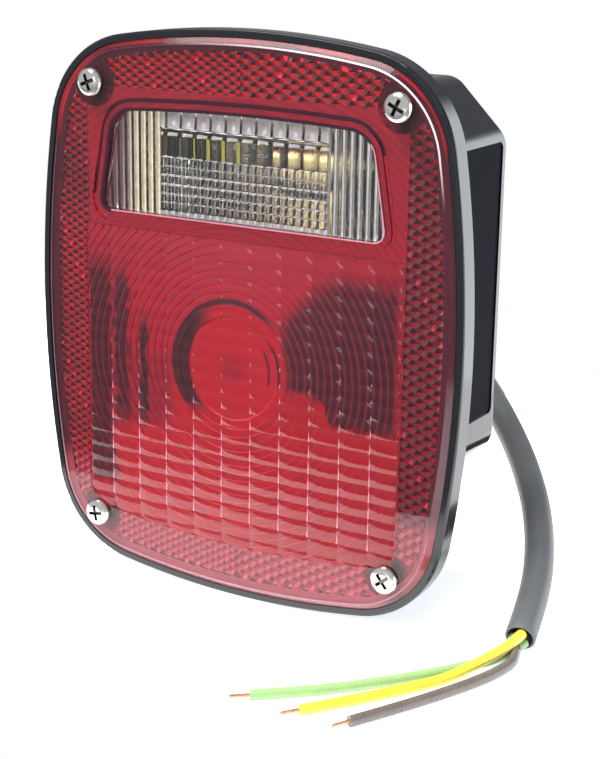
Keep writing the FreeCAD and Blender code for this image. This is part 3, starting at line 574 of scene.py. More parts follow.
def bowed(inset, steps=10):
    """The flange's outline moved inwards: four gently bowed sides joined by round corners."""
    half_wide, half_high = 73.0 - inset, 85.75 - inset
    side, end, corner = 350.0 - inset, 270.0 - inset, 31.0 - inset
    side_x, end_z = half_wide - side, half_high - end
    # the corner arc touches both bows from inside, so its centre is known by two distances
    span = math.hypot(side_x, end_z)
    to_side, to_end = side - corner, end - corner
    along = (to_side**2 - to_end**2 + span**2) / (2 * span)
    off = math.sqrt(to_side**2 - along**2)
    ux, uz = -side_x / span, end_z / span
    cx, cz = side_x + along * ux + off * uz, along * uz - off * ux
    if cx < 0 or cz < 0:
        cx, cz = side_x + along * ux - off * uz, along * uz + off * ux
    low = math.atan2(cz, cx - side_x)
    high = math.atan2(cz - end_z, cx)
    quarter = arc((side_x, 0), side, 0, low, steps)[:-1]
    quarter += arc((cx, cz), corner, low, high, 2 * steps)[:-1]
    quarter += arc((0, end_z), end, high, math.pi / 2, steps)
    right = [(x, -z) for x, z in reversed(quarter[1:])] + quarter
    return right[:-1] + [(-x, z) for x, z in reversed(right[1:])]


def rounded(points, radii, steps=6):
    """A closed polygon, anticlockwise, whose corners are arcs."""
    found, count = [], len(points)
    for i, corner in enumerate(points):
        here = Vector(corner)
        back = (Vector(points[i - 1]) - here).normalized()
        ahead = (Vector(points[(i + 1) % count]) - here).normalized()
        half = back.angle(ahead) / 2
        centre = here + (back + ahead).normalized() * (radii[i] / math.sin(half))
        first = here + back * (radii[i] / math.tan(half)) - centre
        last = here + ahead * (radii[i] / math.tan(half)) - centre
        start = math.atan2(first.y, first.x)
        sweep = (math.atan2(last.y, last.x) - start) % (2 * math.pi)
        found += arc(centre, radii[i], start, start + sweep, steps)
    return found


def window_outline(grow):
    """The backup window's outline: wider at the bottom, with rounder upper corners and a bowed top."""
    (low, bottom, low_corner), (high, top, high_corner) = WINDOW_LOW, WINDOW_HIGH
    lean = math.atan((low - high) / (top - bottom))
    bottom, top = bottom - grow, top + grow
    at_top = high + grow / math.cos(lean) - grow * math.tan(lean)
    at_bottom = low + grow / math.cos(lean) + grow * math.tan(lean)
    points = [(-at_bottom, bottom), (at_bottom, bottom), (at_top, top), (-at_top, top)]
    corners = [low_corner + grow] * 2 + [high_corner + grow] * 2
    arc_steps, top_points = 6, 15
    outline = rounded(points, corners, arc_steps)
    turned = 3 * (arc_steps + 1)
    half_top = outline[turned - 1][0]
    across = [half_top * (1 - 2 * i / (top_points + 1)) for i in range(1, top_points + 1)]
    outline = outline[:turned] + [(x, top) for x in across] + outline[turned:]
    middle = (WINDOW_LOW[1] + WINDOW_HIGH[1]) / 2
    drops = [WINDOW_DROP * (x / DROP_AT) ** 2 * max(0.0, (z - middle) / (top - middle)) for x, z in outline]
    return [(x, z - drop) for (x, z), drop in zip(outline, drops)]


def bow_bottom(half, low, drop, corner, high):
    """An outline with straight sides, round lower corners and a bottom that bows down by a drop."""
    radius = (half**2 + drop**2) / (2 * drop)
    reach = math.asin((half - corner) / radius)
    bottom = arc((0, low - drop + radius), radius, -math.pi / 2 - reach, -math.pi / 2 + reach, 14)
    x, z = bottom[-1]
    turn = arc((half - corner, z + corner), corner, -math.pi / 2 + reach, 0, 6)[1:]
    right = turn + [(half, high)]
    return bottom + right + [(-a, b) for a, b in reversed(right)]


def within(point, outline):
    """Whether a point lies inside a closed outline."""
    x, z = point
    odd = False
    for (a, b), (c, d) in zip(outline, outline[1:] + outline[:1]):
        if (b > z) != (d > z) and x < (c - a) * (z - b) / (d - b) + a:
            odd = not odd
    return odd


def middle_of(face, points):
    return sum((points[i] for i in face), Vector((0, 0))) / len(face)


def mesh_between(outer, holes, points=(), edges=()):
    """Triangles inside one closed outline and outside others, with given points and edges kept."""
    places = [Vector(p) for p in points]
    lines = list(edges)
    for outline in [outer, *holes]:
        start, count = len(places), len(outline)
        places += [Vector(p) for p in outline]
        lines += [(start + i, start + (i + 1) % count) for i in range(count)]
    found, _, faces, _, _, _ = delaunay_2d_cdt(places, lines, [], 0, 1e-5)
    kept = []
    for face in faces:
        middle = middle_of(face, found)
        if within(middle, outer) and not any(within(middle, hole) for hole in holes):
            kept.append(face)
    return found, kept


def clipped(vertices, faces, outline):
    """A sheet cut to a convex, anticlockwise outline in x and z."""
    sheet = bmesh.new()
    made = [sheet.verts.new(v) for v in vertices]
    for face in faces:
        sheet.faces.new([made[i] for i in face])
    for (a, b), (c, d) in zip(outline, outline[1:] + outline[:1]):
        if math.hypot(c - a, d - b) < 1e-6:
            continue
        everything = sheet.verts[:] + sheet.edges[:] + sheet.faces[:]
        outwards = Vector((d - b, 0, a - c))
        bmesh.ops.bisect_plane(
            sheet, geom=everything, dist=1e-5, plane_co=(a, 0, b), plane_no=outwards, clear_outer=True
        )
    sheet.verts.index_update()
    found = [tuple(v.co) for v in sheet.verts], [tuple(v.index for v in f.verts) for f in sheet.faces]
    sheet.free()
    return found


def loop_at(outline, y):
    return [(x, y, z) for x, z in outline]


class Sheets:
    """Collects faces for one mesh. Each sheet's faces turn their front to a given side."""

    def __init__(self):
        self.vertices, self.faces, self.slots, self.tags = [], [], [], []

    def add(self, vertices, faces, slot, facing=None, tags=None):
        start = len(self.vertices)
        self.vertices += [tuple(v) for v in vertices]
        for number, face in enumerate(faces):
            if facing is not None:
                a, b, c = (Vector(vertices[i]) for i in face[:3])
                if (b - a).cross(c - a).y * facing < 0:
                    face = tuple(reversed(face))
            self.faces.append(tuple(i + start for i in face))
            self.slots.append(slot)
            self.tags.append(tags[number] if tags else 0.0)

    def flat(self, y, outline, holes, slot, facing):
        """Triangles at one depth, inside an outline and outside its holes."""
        points, faces = mesh_between(outline, holes)
        self.add(loop_at(points, y), faces, slot, facing)

    def strip(self, first, first_y, second, second_y, slot):
        """A band between two outlines with as many points, each at its own depth."""
        self.add(loop_at(first, first_y) + loop_at(second, second_y), ring_faces(0, 1, len(first)), slot)

    def rim(self, y, outer, inner, slot_at):
        """Separate quads between two outlines at one depth, with a slot for each."""
        for i in range(len(outer)):
            j = (i + 1) % len(outer)
            corners = loop_at([outer[i], outer[j], inner[j], inner[i]], y)
            self.add(corners, [(0, 1, 2, 3)], slot_at(i, j), facing=-1)

    def walls(self, faces, vertices, y, slot):
        """Short walls from the open edges of a sheet to one depth."""
        used = {}
        for face in faces:
            for a, b in zip(face, face[1:] + face[:1]):
                key = (min(a, b), max(a, b))
                used[key] = used.get(key, 0) + 1
        for (a, b), times in used.items():
            p, q = vertices[a], vertices[b]
            if times == 1 and (p[1] != y or q[1] != y):
                self.add([p, q, (q[0], y, q[2]), (p[0], y, p[2])], [(0, 1, 2, 3)], slot)

    def make(self, name, materials, smooth_slots):
        thing = new_object(name, self.vertices, self.faces)
        for material in materials:
            thing.data.materials.append(material)
        thing.data.polygons.foreach_set("material_index", self.slots)
        thing.data.polygons.foreach_set("use_smooth", [s in smooth_slots for s in self.slots])
        tag = thing.data.attributes.new("facet", "FLOAT", "FACE")
        tag.data.foreach_set("value", self.tags)
        return thing


# ---- the red lens ----

# the dark slot holds the lens's dark edges and bosses, and painted shade round the window
FACE, OPTICS, DARK_AND_SHADED, EDGE, PILLOWS, BEVEL, PAINTED_GLINT, BAND, SLOPE = range(9)

PRISM_APEX = -56.6
PRISM_RADII = {-1: 1.42, 1: 1.76}
PANEL_HIGH, PANEL_HALF = 25.0, 54.5
PANEL_SUNK, PANEL_BACK = 0.75, -58.3
PILLOW_WIDE, PILLOW_HIGH = 10.14, 4.96
# one crossing of the seams between pillows
SEAM_X, SEAM_Z = 4.9, -30.9
RINGS_CENTRE, RING_PITCH = (-2.5, -13.5), 2.3


def prism_height(x, z, radius):
    """How far a cube-corner field falls away from its apexes, in which sixth, and of which cell."""
    column, row = 1.5 * radius, math.sqrt(3) * radius
    best = None
    i = round(x / column)
    for near in (i - 1, i, i + 1):
        shift = 0.5 * (near % 2)
        j = round(z / row - shift)
        cx, cz = near * column, (j + shift) * row
        away = math.hypot(x - cx, z - cz)
        if best is None or away < best[0]:
            best = (away, x - cx, z - cz, near, j)
    _, dx, dz, i, j = best
    drops = [dx * math.cos(math.radians(a)) + dz * math.sin(math.radians(a)) for a in (60, 180, 300)]
    sixth = int(math.degrees(math.atan2(dz, dx)) % 360 // 60)
    return math.sqrt(2) * max(drops), sixth, (i, j)


def prism_lattice(inside, radius):
    """Corners and creases of the cube-corner field, for the cells that an area test picks."""
    column, row = 1.5 * radius, math.sqrt(3) * radius
    points, numbers, lines = [], {}, set()
    merged_to = 50  # steps to a millimetre when two cells' corners are told apart

    def number(x, z):
        key = (round(x * merged_to), round(z * merged_to))
        if key not in numbers:
            numbers[key] = len(points)
            points.append((x, z))
        return numbers[key]

    cells = range(-42, 43)
    for i in cells:
        for j in cells:
            cx, cz = i * column, (j + 0.5 * (i % 2)) * row
            turns = [math.radians(60 * k) for k in range(6)]
            ring = [(cx + radius * math.cos(turn), cz + radius * math.sin(turn)) for turn in turns]
            if not any(inside(p) for p in ring):
                continue
            centre = number(cx, cz)
            corners = [number(*p) for p in ring]
            for corner, following in zip(corners, corners[1:] + corners[:1]):
                lines.add(tuple(sorted((corner, following))))
                lines.add(tuple(sorted((centre, corner))))
    return points, sorted(lines)


def add_prisms(sheets, field_edge, inner, patches):
    """The border's cube corners: a finer field on the left half and a coarser one on the right."""
    just_inside, clear_of_screws, beyond = bowed(6.15), 7.0, 90.0
    for side, radius in PRISM_RADII.items():

        def in_field(point):
            away = min(math.hypot(point[0] - x, point[1] - z) for x, z in SCREW_PLACES)
            near_side = point[0] * side > -radius
            inside = within(point, field_edge) and not within(point, inner)
            return near_side and inside and away > clear_of_screws

        points, lines = prism_lattice(in_field, radius)
        lines.append((len(points), len(points) + 1))
        points += [(0.0, -beyond), (0.0, beyond)]
        points, faces = mesh_between(field_edge, [inner, *patches], points, lines)
        faces = [face for face in faces if middle_of(face, points).x * side > 0]
        vertices = []
        for x, z in points:
            level = PRISM_APEX - prism_height(x, z, radius)[0]
            vertices.append((x, level if within((x, z), just_inside) else LENS_BACK, z))
        tags = []
        for face in faces:
            _, sixth, (i, j) = prism_height(*middle_of(face, points), radius)
            tags.append(1 + sixth + 0.8 * (((i * 37 + j * 61) % 17) / 17))
        sheets.add(vertices, faces, OPTICS, facing=1, tags=tags)
        sheets.walls(faces, vertices, LENS_BACK, OPTICS)


def ring_field(outline):
    """Sawtooth rings round the bulb's place, about a smooth eye."""
    eye, reach, turns, hollow = 18.7, 95.0, 150, 0.3
    profile = [(4.0, 0.02), (8.0, 0.08), (12.0, 0.18), (15.5, 0.3), (16.0, 0.0), (eye, 0.12)]
    radius = eye
    while radius < reach:
        depth = min(0.95, 0.36 + 0.012 * (radius - eye))
        profile += [(radius + 0.12, -depth * 0.85), (radius + RING_PITCH, 0.0)]
        radius += RING_PITCH
    cx, cz = RINGS_CENTRE
    vertices = [(cx, PANEL_BACK + hollow, cz)]
    for r, rise in profile:
        for k in range(turns):
            t = 2 * math.pi * k / turns
            vertices.append((cx + r * math.cos(t), PANEL_BACK + rise + hollow, cz + r * math.sin(t)))
    faces = [(0, 1 + k, 1 + (k + 1) % turns) for k in range(turns)]
    return clipped(vertices, faces + ring_faces(1, len(profile) - 1, turns), outline)


def pillow_field(outline):
    """The panel's outer face: shallow pillows in straight columns and rows, each with sharp edges."""
    steps, columns, rows = 8, 12, 21
    first_x, first_z = SEAM_X - 6 * PILLOW_WIDE, SEAM_Z - 9 * PILLOW_HIGH
    vertices, faces = [], []
    for column in range(columns):
        for row in range(rows):
            faces += grid_faces(len(vertices), steps + 1, steps + 1)
            for j in range(steps + 1):
                for i in range(steps + 1):
                    u, w = 2 * i / steps - 1, 2 * j / steps - 1
                    swell = 0.56 * (1 - abs(u) ** 2.6) + 0.185 * (1 - w * w)
                    x = first_x + PILLOW_WIDE * (column + i / steps)
                    z = first_z + PILLOW_HIGH * (row + j / steps)
                    vertices.append((x, FRONT + PANEL_SUNK - swell, z))
    return clipped(vertices, faces, outline)


def add_painted_glints(sheets):
    """A painted highlight on the edge between two pillows: a tapering stroke at each crossing, longer towards
    the bottom.
    """
    y, tip = FRONT + PANEL_SUNK - 0.30, 0.05
    for column in range(-5, 5):
        x = SEAM_X + PILLOW_WIDE * column
        for row in range(-6, 5):
            z = SEAM_Z + PILLOW_HIGH * row
            tall = PILLOW_HIGH * min(1.0, max(0.22, (-10.0 - z) / 32.0))
            half = 0.12 + 0.16 * tall / PILLOW_HIGH
            if -66.5 + 0.0013 * x * x < z:
                stroke = [(x - half, y, z), (x + half, y, z), (x - tip, y, z + tall)]
                sheets.add(stroke, [(0, 1, 2)], PAINTED_GLINT, facing=-1)


def add_lens_front(sheets, edge, panel, opening, screw_holes):
    """The slope, the rounded edge, the flat face with a groove round the window, and the pillowed panel."""
    fillet = [bowed(4.05), bowed(4.27), bowed(4.5)]
    fillet_y = [BEVEL_EDGE + (FRONT - BEVEL_EDGE) * 0.85, FRONT + 0.05, FRONT]
    sheets.strip(edge, BEVEL_EDGE, fillet[0], fillet_y[0], SLOPE)
    rings = [point for ring, y in zip(fillet, fillet_y) for point in loop_at(ring, y)]
    sheets.add(rings, ring_faces(0, 2, len(edge)), EDGE)
    groove_out, groove_in, groove_floor = window_outline(3.9), window_outline(2.6), FRONT + 0.6
    sheets.flat(FRONT, fillet[-1], [panel, groove_out, *screw_holes], FACE, facing=-1)
    sheets.strip(groove_out, FRONT, groove_out, groove_floor, FACE)
    sheets.strip(groove_in, groove_floor, groove_in, FRONT, FACE)
    # the groove's floor above the window is painted shade; lower down it takes the face's look
    sheets.rim(groove_floor, groove_out, groove_in, lambda i, _: DARK_AND_SHADED if groove_out[i][1] > 42 else FACE)
    shadow, pale = window_outline(1.1), window_outline(0.5)
    sheets.flat(FRONT, groove_in, [shadow], FACE, facing=-1)

    def dark(i, j):
        """Whether an edge of the rim lies at the window's left or along its top, where a painted shadow lies.
        """
        return shadow[i][0] + shadow[j][0] < -80 or shadow[i][1] + shadow[j][1] > 114

    # a painted shadow along the window's left and top, and a thin painted highlight round the rest of the
    # opening
    sheets.rim(FRONT, shadow, pale, lambda i, j: DARK_AND_SHADED if dark(i, j) else FACE)
    sheets.rim(FRONT, pale, opening, lambda i, j: DARK_AND_SHADED if dark(i, j) else PAINTED_GLINT)
    vertices, faces = pillow_field(panel)
    sheets.add(vertices, faces, PILLOWS, facing=-1)
    sheets.strip(panel, FRONT, panel, FRONT + PANEL_SUNK, FACE)
    add_painted_glints(sheets)


def add_lens_back(sheets, edge, panel, opening, screw_holes):
    """Cube corners in the border, rings behind the panel, flat elsewhere."""
    inner = bow_bottom(PANEL_HALF, -65.0, 4.6, 6.0, 67.0)
    field_edge, band_edge = bowed(6.1), bowed(4.3)
    patches = [circle(p, 7.4) for p in SCREW_PLACES]
    add_prisms(sheets, field_edge, inner, patches)
    sheets.flat(LENS_BACK, edge, [band_edge], BEVEL, facing=1)
    sheets.flat(LENS_BACK, band_edge, [field_edge], BAND, facing=1)
    border = [(i, (i + 1) % len(field_edge)) for i in range(len(field_edge))]
    for patch, hole in zip(patches, screw_holes):
        points, faces = mesh_between(patch, [hole], field_edge, border)
        faces = [face for face in faces if within(middle_of(face, points), field_edge)]
        sheets.add(loop_at(points, LENS_BACK), faces, DARK_AND_SHADED, facing=1)
    sheets.flat(LENS_BACK, inner, [panel, opening], OPTICS, facing=1)
    vertices, faces = ring_field(panel)
    sheets.add(vertices, faces, OPTICS, facing=1)


def add_lens(looks):
    """The red lens: a face and a back that meet at its edge, its window's opening and its screw holes."""
    sheets = Sheets()
    edge = bowed(2.45)
    panel = bow_bottom(PANEL_HALF, -64.2, 4.6, 7.0, PANEL_HIGH)
    opening = window_outline(0.1)
    screw_holes = [circle(p, 2.4) for p in SCREW_PLACES]
    add_lens_front(sheets, edge, panel, opening, screw_holes)
    add_lens_back(sheets, edge, panel, opening, screw_holes)
    sheets.strip(edge, LENS_BACK, edge, BEVEL_EDGE, DARK_AND_SHADED)
    for hole in [opening, *screw_holes]:
        sheets.strip(hole, FRONT, hole, LENS_BACK, DARK_AND_SHADED)
    return sheets.make("lens_cover_red", looks, smooth_slots=(EDGE, PILLOWS))


# ---- the backup window ----

CLEAR, RIM, CLEAR_OPTICS, PAINTED_HIGHLIGHT_OPTICS = range(4)

# flutes beyond the ends; between them, from the top down, rows that start at these levels
FLUTES_FROM = 28.6
PILLOW_ROW, BAR_ROW, TALL_ROW, STEP_ROWS = 56.3, 53.8, 47.6, 31.5
FINE, WIDE, BAR, STEP = 2.6, 5.2, 2.5, 2.7


def flutes(x, pitch, depth):
    """A row of convex ribs: the height at a place across them."""
    return depth * math.sin(math.pi * ((x / pitch) % 1.0))


def window_relief(x, z):
    """How far the window's back stands out at a place."""
    if abs(x) >= FLUTES_FROM:
        return flutes(abs(x) - FLUTES_FROM, FINE, 0.75)
    if z > PILLOW_ROW:
        return flutes(x, WIDE, 0.5) + flutes(z - PILLOW_ROW, WIDE, 0.5)
    if z > BAR_ROW:
        return flutes(z - BAR_ROW, BAR, 0.6) + flutes(x, WIDE, 0.15)
    if z > TALL_ROW:
        return flutes(x, WIDE, 0.55)
    if z > STEP_ROWS:
        return 0.6 * (((z - STEP_ROWS) / STEP) % 1.0) + flutes(x, FINE, 0.35)
    return flutes(x, FINE, 0.5)


def has_painted_highlight(x, z):
    """Where the window's prisms get a painted highlight, white from in front."""
    if abs(x) >= FLUTES_FROM:
        share = ((abs(x) - FLUTES_FROM) / FINE) % 1.0
        return share < 0.2 if x > 0 else share < 0.72
    if z > PILLOW_ROW:
        return (x / WIDE) % 1.0 < 0.82
    if z > BAR_ROW:
        return (z - BAR_ROW) % BAR < 0.9 and (x / WIDE) % 1.0 < 0.7
    if z > TALL_ROW:
        return -17.0 < x < 3.0 and 0.62 < (x / WIDE) % 1.0 < 0.86
    if z > STEP_ROWS:
        return ((z - STEP_ROWS) / STEP) % 1.0 > 0.8 and (x / FINE) % 1.0 < 0.7
    return True


def add_window(looks):
    """The clear window: a flat face and a lip, with flutes, prism rows and pillows on its back."""
    sheets = Sheets()
    face, lip = window_outline(0.0), window_outline(1.5)
    front, base, lip_back = -59.0, -57.3, -56.5
    sheets.flat(front, face, [], CLEAR, facing=-1)
    sheets.strip(face, LENS_BACK, face, front, RIM)
    sheets.flat(LENS_BACK, lip, [face], CLEAR, facing=-1)
    sheets.strip(lip, lip_back, lip, LENS_BACK, CLEAR)
    sheets.flat(lip_back, lip, [face], CLEAR, facing=1)
    sheets.strip(face, lip_back, face, base, CLEAR)
    across, up = 0.325, 0.25
    xs = sorted({round(-52 + across * i, 4) for i in range(321)} | {-FLUTES_FROM, FLUTES_FROM})
    zs = [28.0 + up * j for j in range(144)]
    vertices = [(x, base + window_relief(x, z), z) for z in zs for x in xs]
    vertices, faces = clipped(vertices, grid_faces(0, len(xs), len(zs)), face)
    # faces whose prisms get a painted highlight, and the rest
    plain, painted_highlights = [], []
    for corners in faces:
        x = sum(vertices[i][0] for i in corners) / len(corners)
        z = sum(vertices[i][2] for i in corners) / len(corners)
        (painted_highlights if has_painted_highlight(x, z) else plain).append(corners)
    sheets.add(vertices, plain, CLEAR_OPTICS, facing=1)
    sheets.add(vertices, painted_highlights, PAINTED_HIGHLIGHT_OPTICS, facing=1)
    # the rim and the prisms that catch the light take the copy with painted highlights
    return sheets.make("window_clear", looks + looks, smooth_slots=(CLEAR_OPTICS, PAINTED_HIGHLIGHT_OPTICS))


# ---- the looks of the lens and the window ----

BRIGHT_RED, PLUM, NEARLY_BLACK = (0.29, 0.004, 0.020), (0.13, 0.006, 0.030), (0.012, 0.003, 0.011)
# a painted reflection of the white floor, for the lens's lowest parts
PAINTED_FLOOR_REFLECTION = (0.27, 0.10, 0.135)
CLEAR_RED = (0.97, 0.22, 0.25)


def face_red():
    """The outer skin of the lens, with a high polish and a little dust."""
    look = Look("red_face", base_color=CLEAR_RED, roughness=0.03, ior=1.49, transmission_weight=1.0)
    look.wear(look.noise(1100.0, 4.0, 0.75), 0.02, 0.1, 0.45, 0.8)
    return look.material


def slope_red():
    """The narrow slope round the lens, which shines less than its face."""
    look = Look("red_slope", base_color=CLEAR_RED, ior=1.49, transmission_weight=1.0)
    look.shader.inputs["Specular IOR Level"].default_value = 0.15
    look.wear(look.noise(700.0, 4.0, 0.7), 0.08, 0.16, 0.4, 0.8)
    return look.material


def edge_red():
    """The rounded edge of the lens's flat face: a painted highlight at the upper right, and a painted
    reflection of the floor at the bottom.
    """
    look = Look("red_edge", ior=1.49)
    look.wear(look.noise(900.0, 4.0, 0.7), 0.08, 0.2, 0.4, 0.8)
    x, _, z = look.axes()
    # painted highlight, pale along the upper right of the edge
    painted_edge_highlight = look.times(look.rise(x, -30.0, 40.0), look.rise(z, 40.0, 60.0))
    # a dark shoulder, turning to a painted reflection of the floor towards the bottom
    plain = look.blend(look.rise(z, -46.0, -56.0), (0.05, 0.006, 0.018), PAINTED_FLOOR_REFLECTION)
    look.feed("Base Color", look.blend(painted_edge_highlight, plain, (0.78, 0.56, 0.60)))
    return look.material


def dark_and_shaded_red():
    """Dark red for the lens's edges and bosses, where the black housing lies right behind, and for painted
    shade in the groove above the window and a painted shadow along its left and top.
    """
    look = Look("red_dark_and_shaded", roughness=0.2, ior=1.49, transmission_weight=0.3)
    look.feed("Base Color", look.blend(look.noise(160.0), NEARLY_BLACK, (0.04, 0.004, 0.014)))
    return look.material


def painted_glint_red():
    """Painted highlights: pale strokes on the sharp edges between pillows, and a thin line round the window's
    opening.
    """
    look = Look("red_painted_glint", roughness=0.25, ior=1.49, transmission_weight=0.35)
    look.feed("Base Color", look.blend(look.noise(500.0), (0.60, 0.20, 0.27), (0.80, 0.36, 0.44)))
    return look.material


def band_red():
    """Just inside the bevel: plum above, and a painted reflection of the floor below."""
    look = Look("red_band", roughness=0.3, ior=1.49, transmission_weight=0.2)
    height = look.axes()[2]
    plum = look.blend(look.noise(140.0, 3.0), (0.020, 0.004, 0.015), (0.065, 0.010, 0.032))
    # a painted reflection of the floor towards the bottom
    look.feed("Base Color", look.blend(look.rise(height, -46.0, -54.0), plum, (0.22, 0.085, 0.11)))
    return look.material


def bevel_red():
    """Behind the lens's bevel: painted light along the upper corners, deep maroon elsewhere, and a painted
    reflection of the floor at the bottom.
    """
    look = Look("red_bevel", roughness=0.3, ior=1.49, transmission_weight=0.2)
    height = look.axes()[2]
    # painted light along the top, broken up by noise
    share = look.times(look.rise(height, 48.0, 66.0), look.span(look.noise(70.0), 0.35, 0.6, 0.3, 1.0))
    upper = look.blend(share, (0.030, 0.003, 0.014), (0.70, 0.012, 0.03))
    # a painted reflection of the floor towards the bottom
    look.feed("Base Color", look.blend(look.rise(height, -46.0, -54.0), upper, (0.17, 0.07, 0.09)))
    return look.material


def ring_tones(look, x, z):
    """The panel's back: bright red, with painted shade as plum patches and as black fans, bands and rings
    about the eye.
    """
    wander = look.span(look.noise(260.0, 3.0, 0.6), 0.2, 0.8, -2.2, 2.2)
    px, pz = look.maths("ADD", x, wander), look.maths("ADD", z, wander)
    dx, dz = (look.maths("SUBTRACT", value, centre) for value, centre in zip((x, z), RINGS_CENTRE))
    radius = look.distance(dx, dz)
    turn = look.times(look.maths("ARCTAN2", dz, dx), 180 / math.pi)
    wavy = look.maths("ADD", radius, look.times(wander, 0.12))
    phase = look.maths("FRACT", look.times(wavy, 1 / RING_PITCH))
    stripes = look.between(phase, 0.08, 0.78, 0.10)
    stepped = look.maths("ADD", pz, look.times(look.rise(px, 26, 32), 8.0))
    steps = [(px, 12.0, 18.0), (stepped, -18.5, -16.0), (turn, 50.0, 38.0), (pz, 22.0, 14.0), (x, 54.0, 51.0)]

    def patch(base, *rises):
        return look.times(base, *[look.rise(axis, low, high) for axis, low, high in rises])

    fan = patch(look.rise(radius, 18.5, 20.5), *steps)
    far_left = patch(look.rise(px, -45.5, -48.5), (z, 19.0, 8.0), (z, -60.0, -44.0))
    next_left = patch(look.between(px, -45.5, -40.0, 1.0), (z, 17.0, 6.0), (z, -42.0, -30.0))
    thin_left = patch(look.between(px, -35.5, -33.0, 0.7), (z, 3.0, -8.0), (z, -40.0, -30.0))
    eye_left = patch(look.between(radius, 15.6, 21.2, 0.5), (x, -8.0, -16.0), (z, -32.0, -24.0))
    eye_top = patch(look.between(radius, 19.6, 21.2, 0.4), (z, -6.0, 0.0), (x, 14.0, 8.0))
    eye_right = look.times(
        look.most(look.between(radius, 12.6, 13.3, 0.2), look.between(radius, 15.6, 16.6, 0.2)),
        look.rise(x, 7.0, 9.5),
        look.between(z, -17.0, -4.0, 3.0),
    )
    lower_left = look.times(look.rise(px, -44.0, -46.0), look.between(pz, -57.0, -46.0, 2.0), 0.85)
    # the black and plum masks here are painted shade; the mottle is a random tone
    broad = look.most(fan, far_left, next_left)
    striped = look.times(broad, look.span(stripes, 0, 1, 0.35, 1.0))
    black = look.most(striped, thin_left, eye_left, eye_top, eye_right, lower_left)
    plum = look.most(
        look.times(look.between(px, -40.0, -24.0, 2.0), look.between(pz, -36.0, -12.0, 3.0), 0.75),
        look.times(look.between(z, 14.0, 26.0, 4.0), 0.6),
        look.times(look.rise(radius, 7.5, 2.0), 0.6),
        look.times(broad, 0.85),
        look.times(stripes, look.rise(radius, 17.0, 21.0), look.rise(z, -34.0, -8.0), 0.7),
    )
    mottle = look.span(look.noise(420.0, 4.0, 0.7), 0.35, 0.75, 0.0, 0.35)
    return look.blend(black, look.blend(look.most(plum, mottle), BRIGHT_RED, PLUM), NEARLY_BLACK)


def cube_tones(look, x, z, tone):
    """The border's cube corners: each half of a face has its own tone of painted light and shade, and the
    lowest are a painted reflection of the floor.
    """
    # painted shade on the dark halves of the faces, painted light on the bright ones
    dark = look.most(look.between(tone, 3.0, 3.95, 0.02), look.rise(tone, 5.0, 5.05))
    bright = look.between(tone, 4.0, 4.95, 0.02)
    lively = look.span(look.maths("FRACT", tone), 0.0, 0.8, 0.0, 0.5)
    patchy = look.span(look.noise(35.0, 3.0, 0.6), 0.35, 0.65, 0.0, 0.8)
    # painted shade in patches, and more of it towards the right
    shaded = look.most(patchy, look.times(look.rise(x, 20.0, 58.0), 0.85))
    shaded = look.times(shaded, look.rise(look.size(z), 72.0, 58.0))
    middle = look.blend(look.most(lively, shaded), (0.42, 0.014, 0.050), (0.13, 0.008, 0.034))
    warm = look.blend(shaded, (0.95, 0.045, 0.05), (0.30, 0.010, 0.045))
    cubes = look.blend(bright, look.blend(look.times(dark, 0.93), middle, NEARLY_BLACK), warm)
    # painted reflection of the floor along the bottom and the bowed foot
    low = look.times(look.rise(z, -48.0, -54.0), 0.68)
    foot = look.rise(look.maths("SUBTRACT", z, look.times(x, x, 1 / 540)), -76.5, -79.0)
    return look.blend(look.most(low, foot), cubes, PAINTED_FLOOR_REFLECTION)


def optic_red():
    """The moulded back of the lens: cube corners where a face has a facet number, and rings elsewhere; their
    colours carry painted light and shade.
    """
    look = Look("red_optics", roughness=0.5, ior=1.49, transmission_weight=0.2)
    x, _, z = look.axes()
    tone = look.node("Attribute", {}, attribute_name="facet").outputs["Fac"]
    panel, cubes = ring_tones(look, x, z), cube_tones(look, x, z, tone)
    look.feed("Base Color", look.blend(look.rise(tone, 0.5, 0.9), panel, cubes))
    return look.material


def window_looks():
    """Clear acrylic, and a copy with painted highlights where its close prisms catch the light."""
    clear = (0.98, 0.98, 0.97)
    plain = Look("clear_acrylic", base_color=clear, roughness=0.02, ior=1.49, transmission_weight=1.0)
    plain.wear(plain.noise(900.0, 4.0, 0.7), 0.01, 0.06, 0.45, 0.8)
    painted_highlights = Look("clear_prisms_painted_highlight", roughness=0.12, ior=1.49, transmission_weight=0.55)
    x, _, z = painted_highlights.axes()
    mottle = painted_highlights.noise(500.0, 4.0, 0.7)
    # painted highlight colours: grey, cream towards the left end, rose at the far left, yellow along one row
    grey = painted_highlights.blend(mottle, (0.62, 0.59, 0.60), (0.20, 0.17, 0.17))
    cream = painted_highlights.blend(mottle, (0.86, 0.76, 0.52), (0.30, 0.25, 0.16))
    rose = painted_highlights.blend(mottle, (0.30, 0.12, 0.14), (0.08, 0.04, 0.05))
    ends = painted_highlights.blend(painted_highlights.rise(x, -27.0, -29.0), grey, cream)
    ends = painted_highlights.blend(painted_highlights.rise(x, -38.0, -42.0), ends, rose)
    row = painted_highlights.times(painted_highlights.between(z, 47.5, 53.9, 0.1), painted_highlights.between(x, -28.4, 28.4, 0.1))
    painted_highlights.feed("Base Color", painted_highlights.blend(row, ends, (0.40, 0.35, 0.07)))
    return [plain.material, painted_highlights.material]


def add_covers():
    """The lens and its window. They throw no shadow, so that light reaches what is behind them."""
    face = face_red()
    looks = [face, optic_red(), dark_and_shaded_red(), edge_red(), face, bevel_red(), painted_glint_red(), band_red()]
    lens = add_lens([*looks, slope_red()])
    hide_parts("lens")
    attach(lens, "lens_cover")
    window = add_window(window_looks())
    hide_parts("backup_window")
    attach(window, "lens_cover")
    for thing in (lens, window):
        thing.visible_shadow = False


# ---- metals, rubber and glass ----


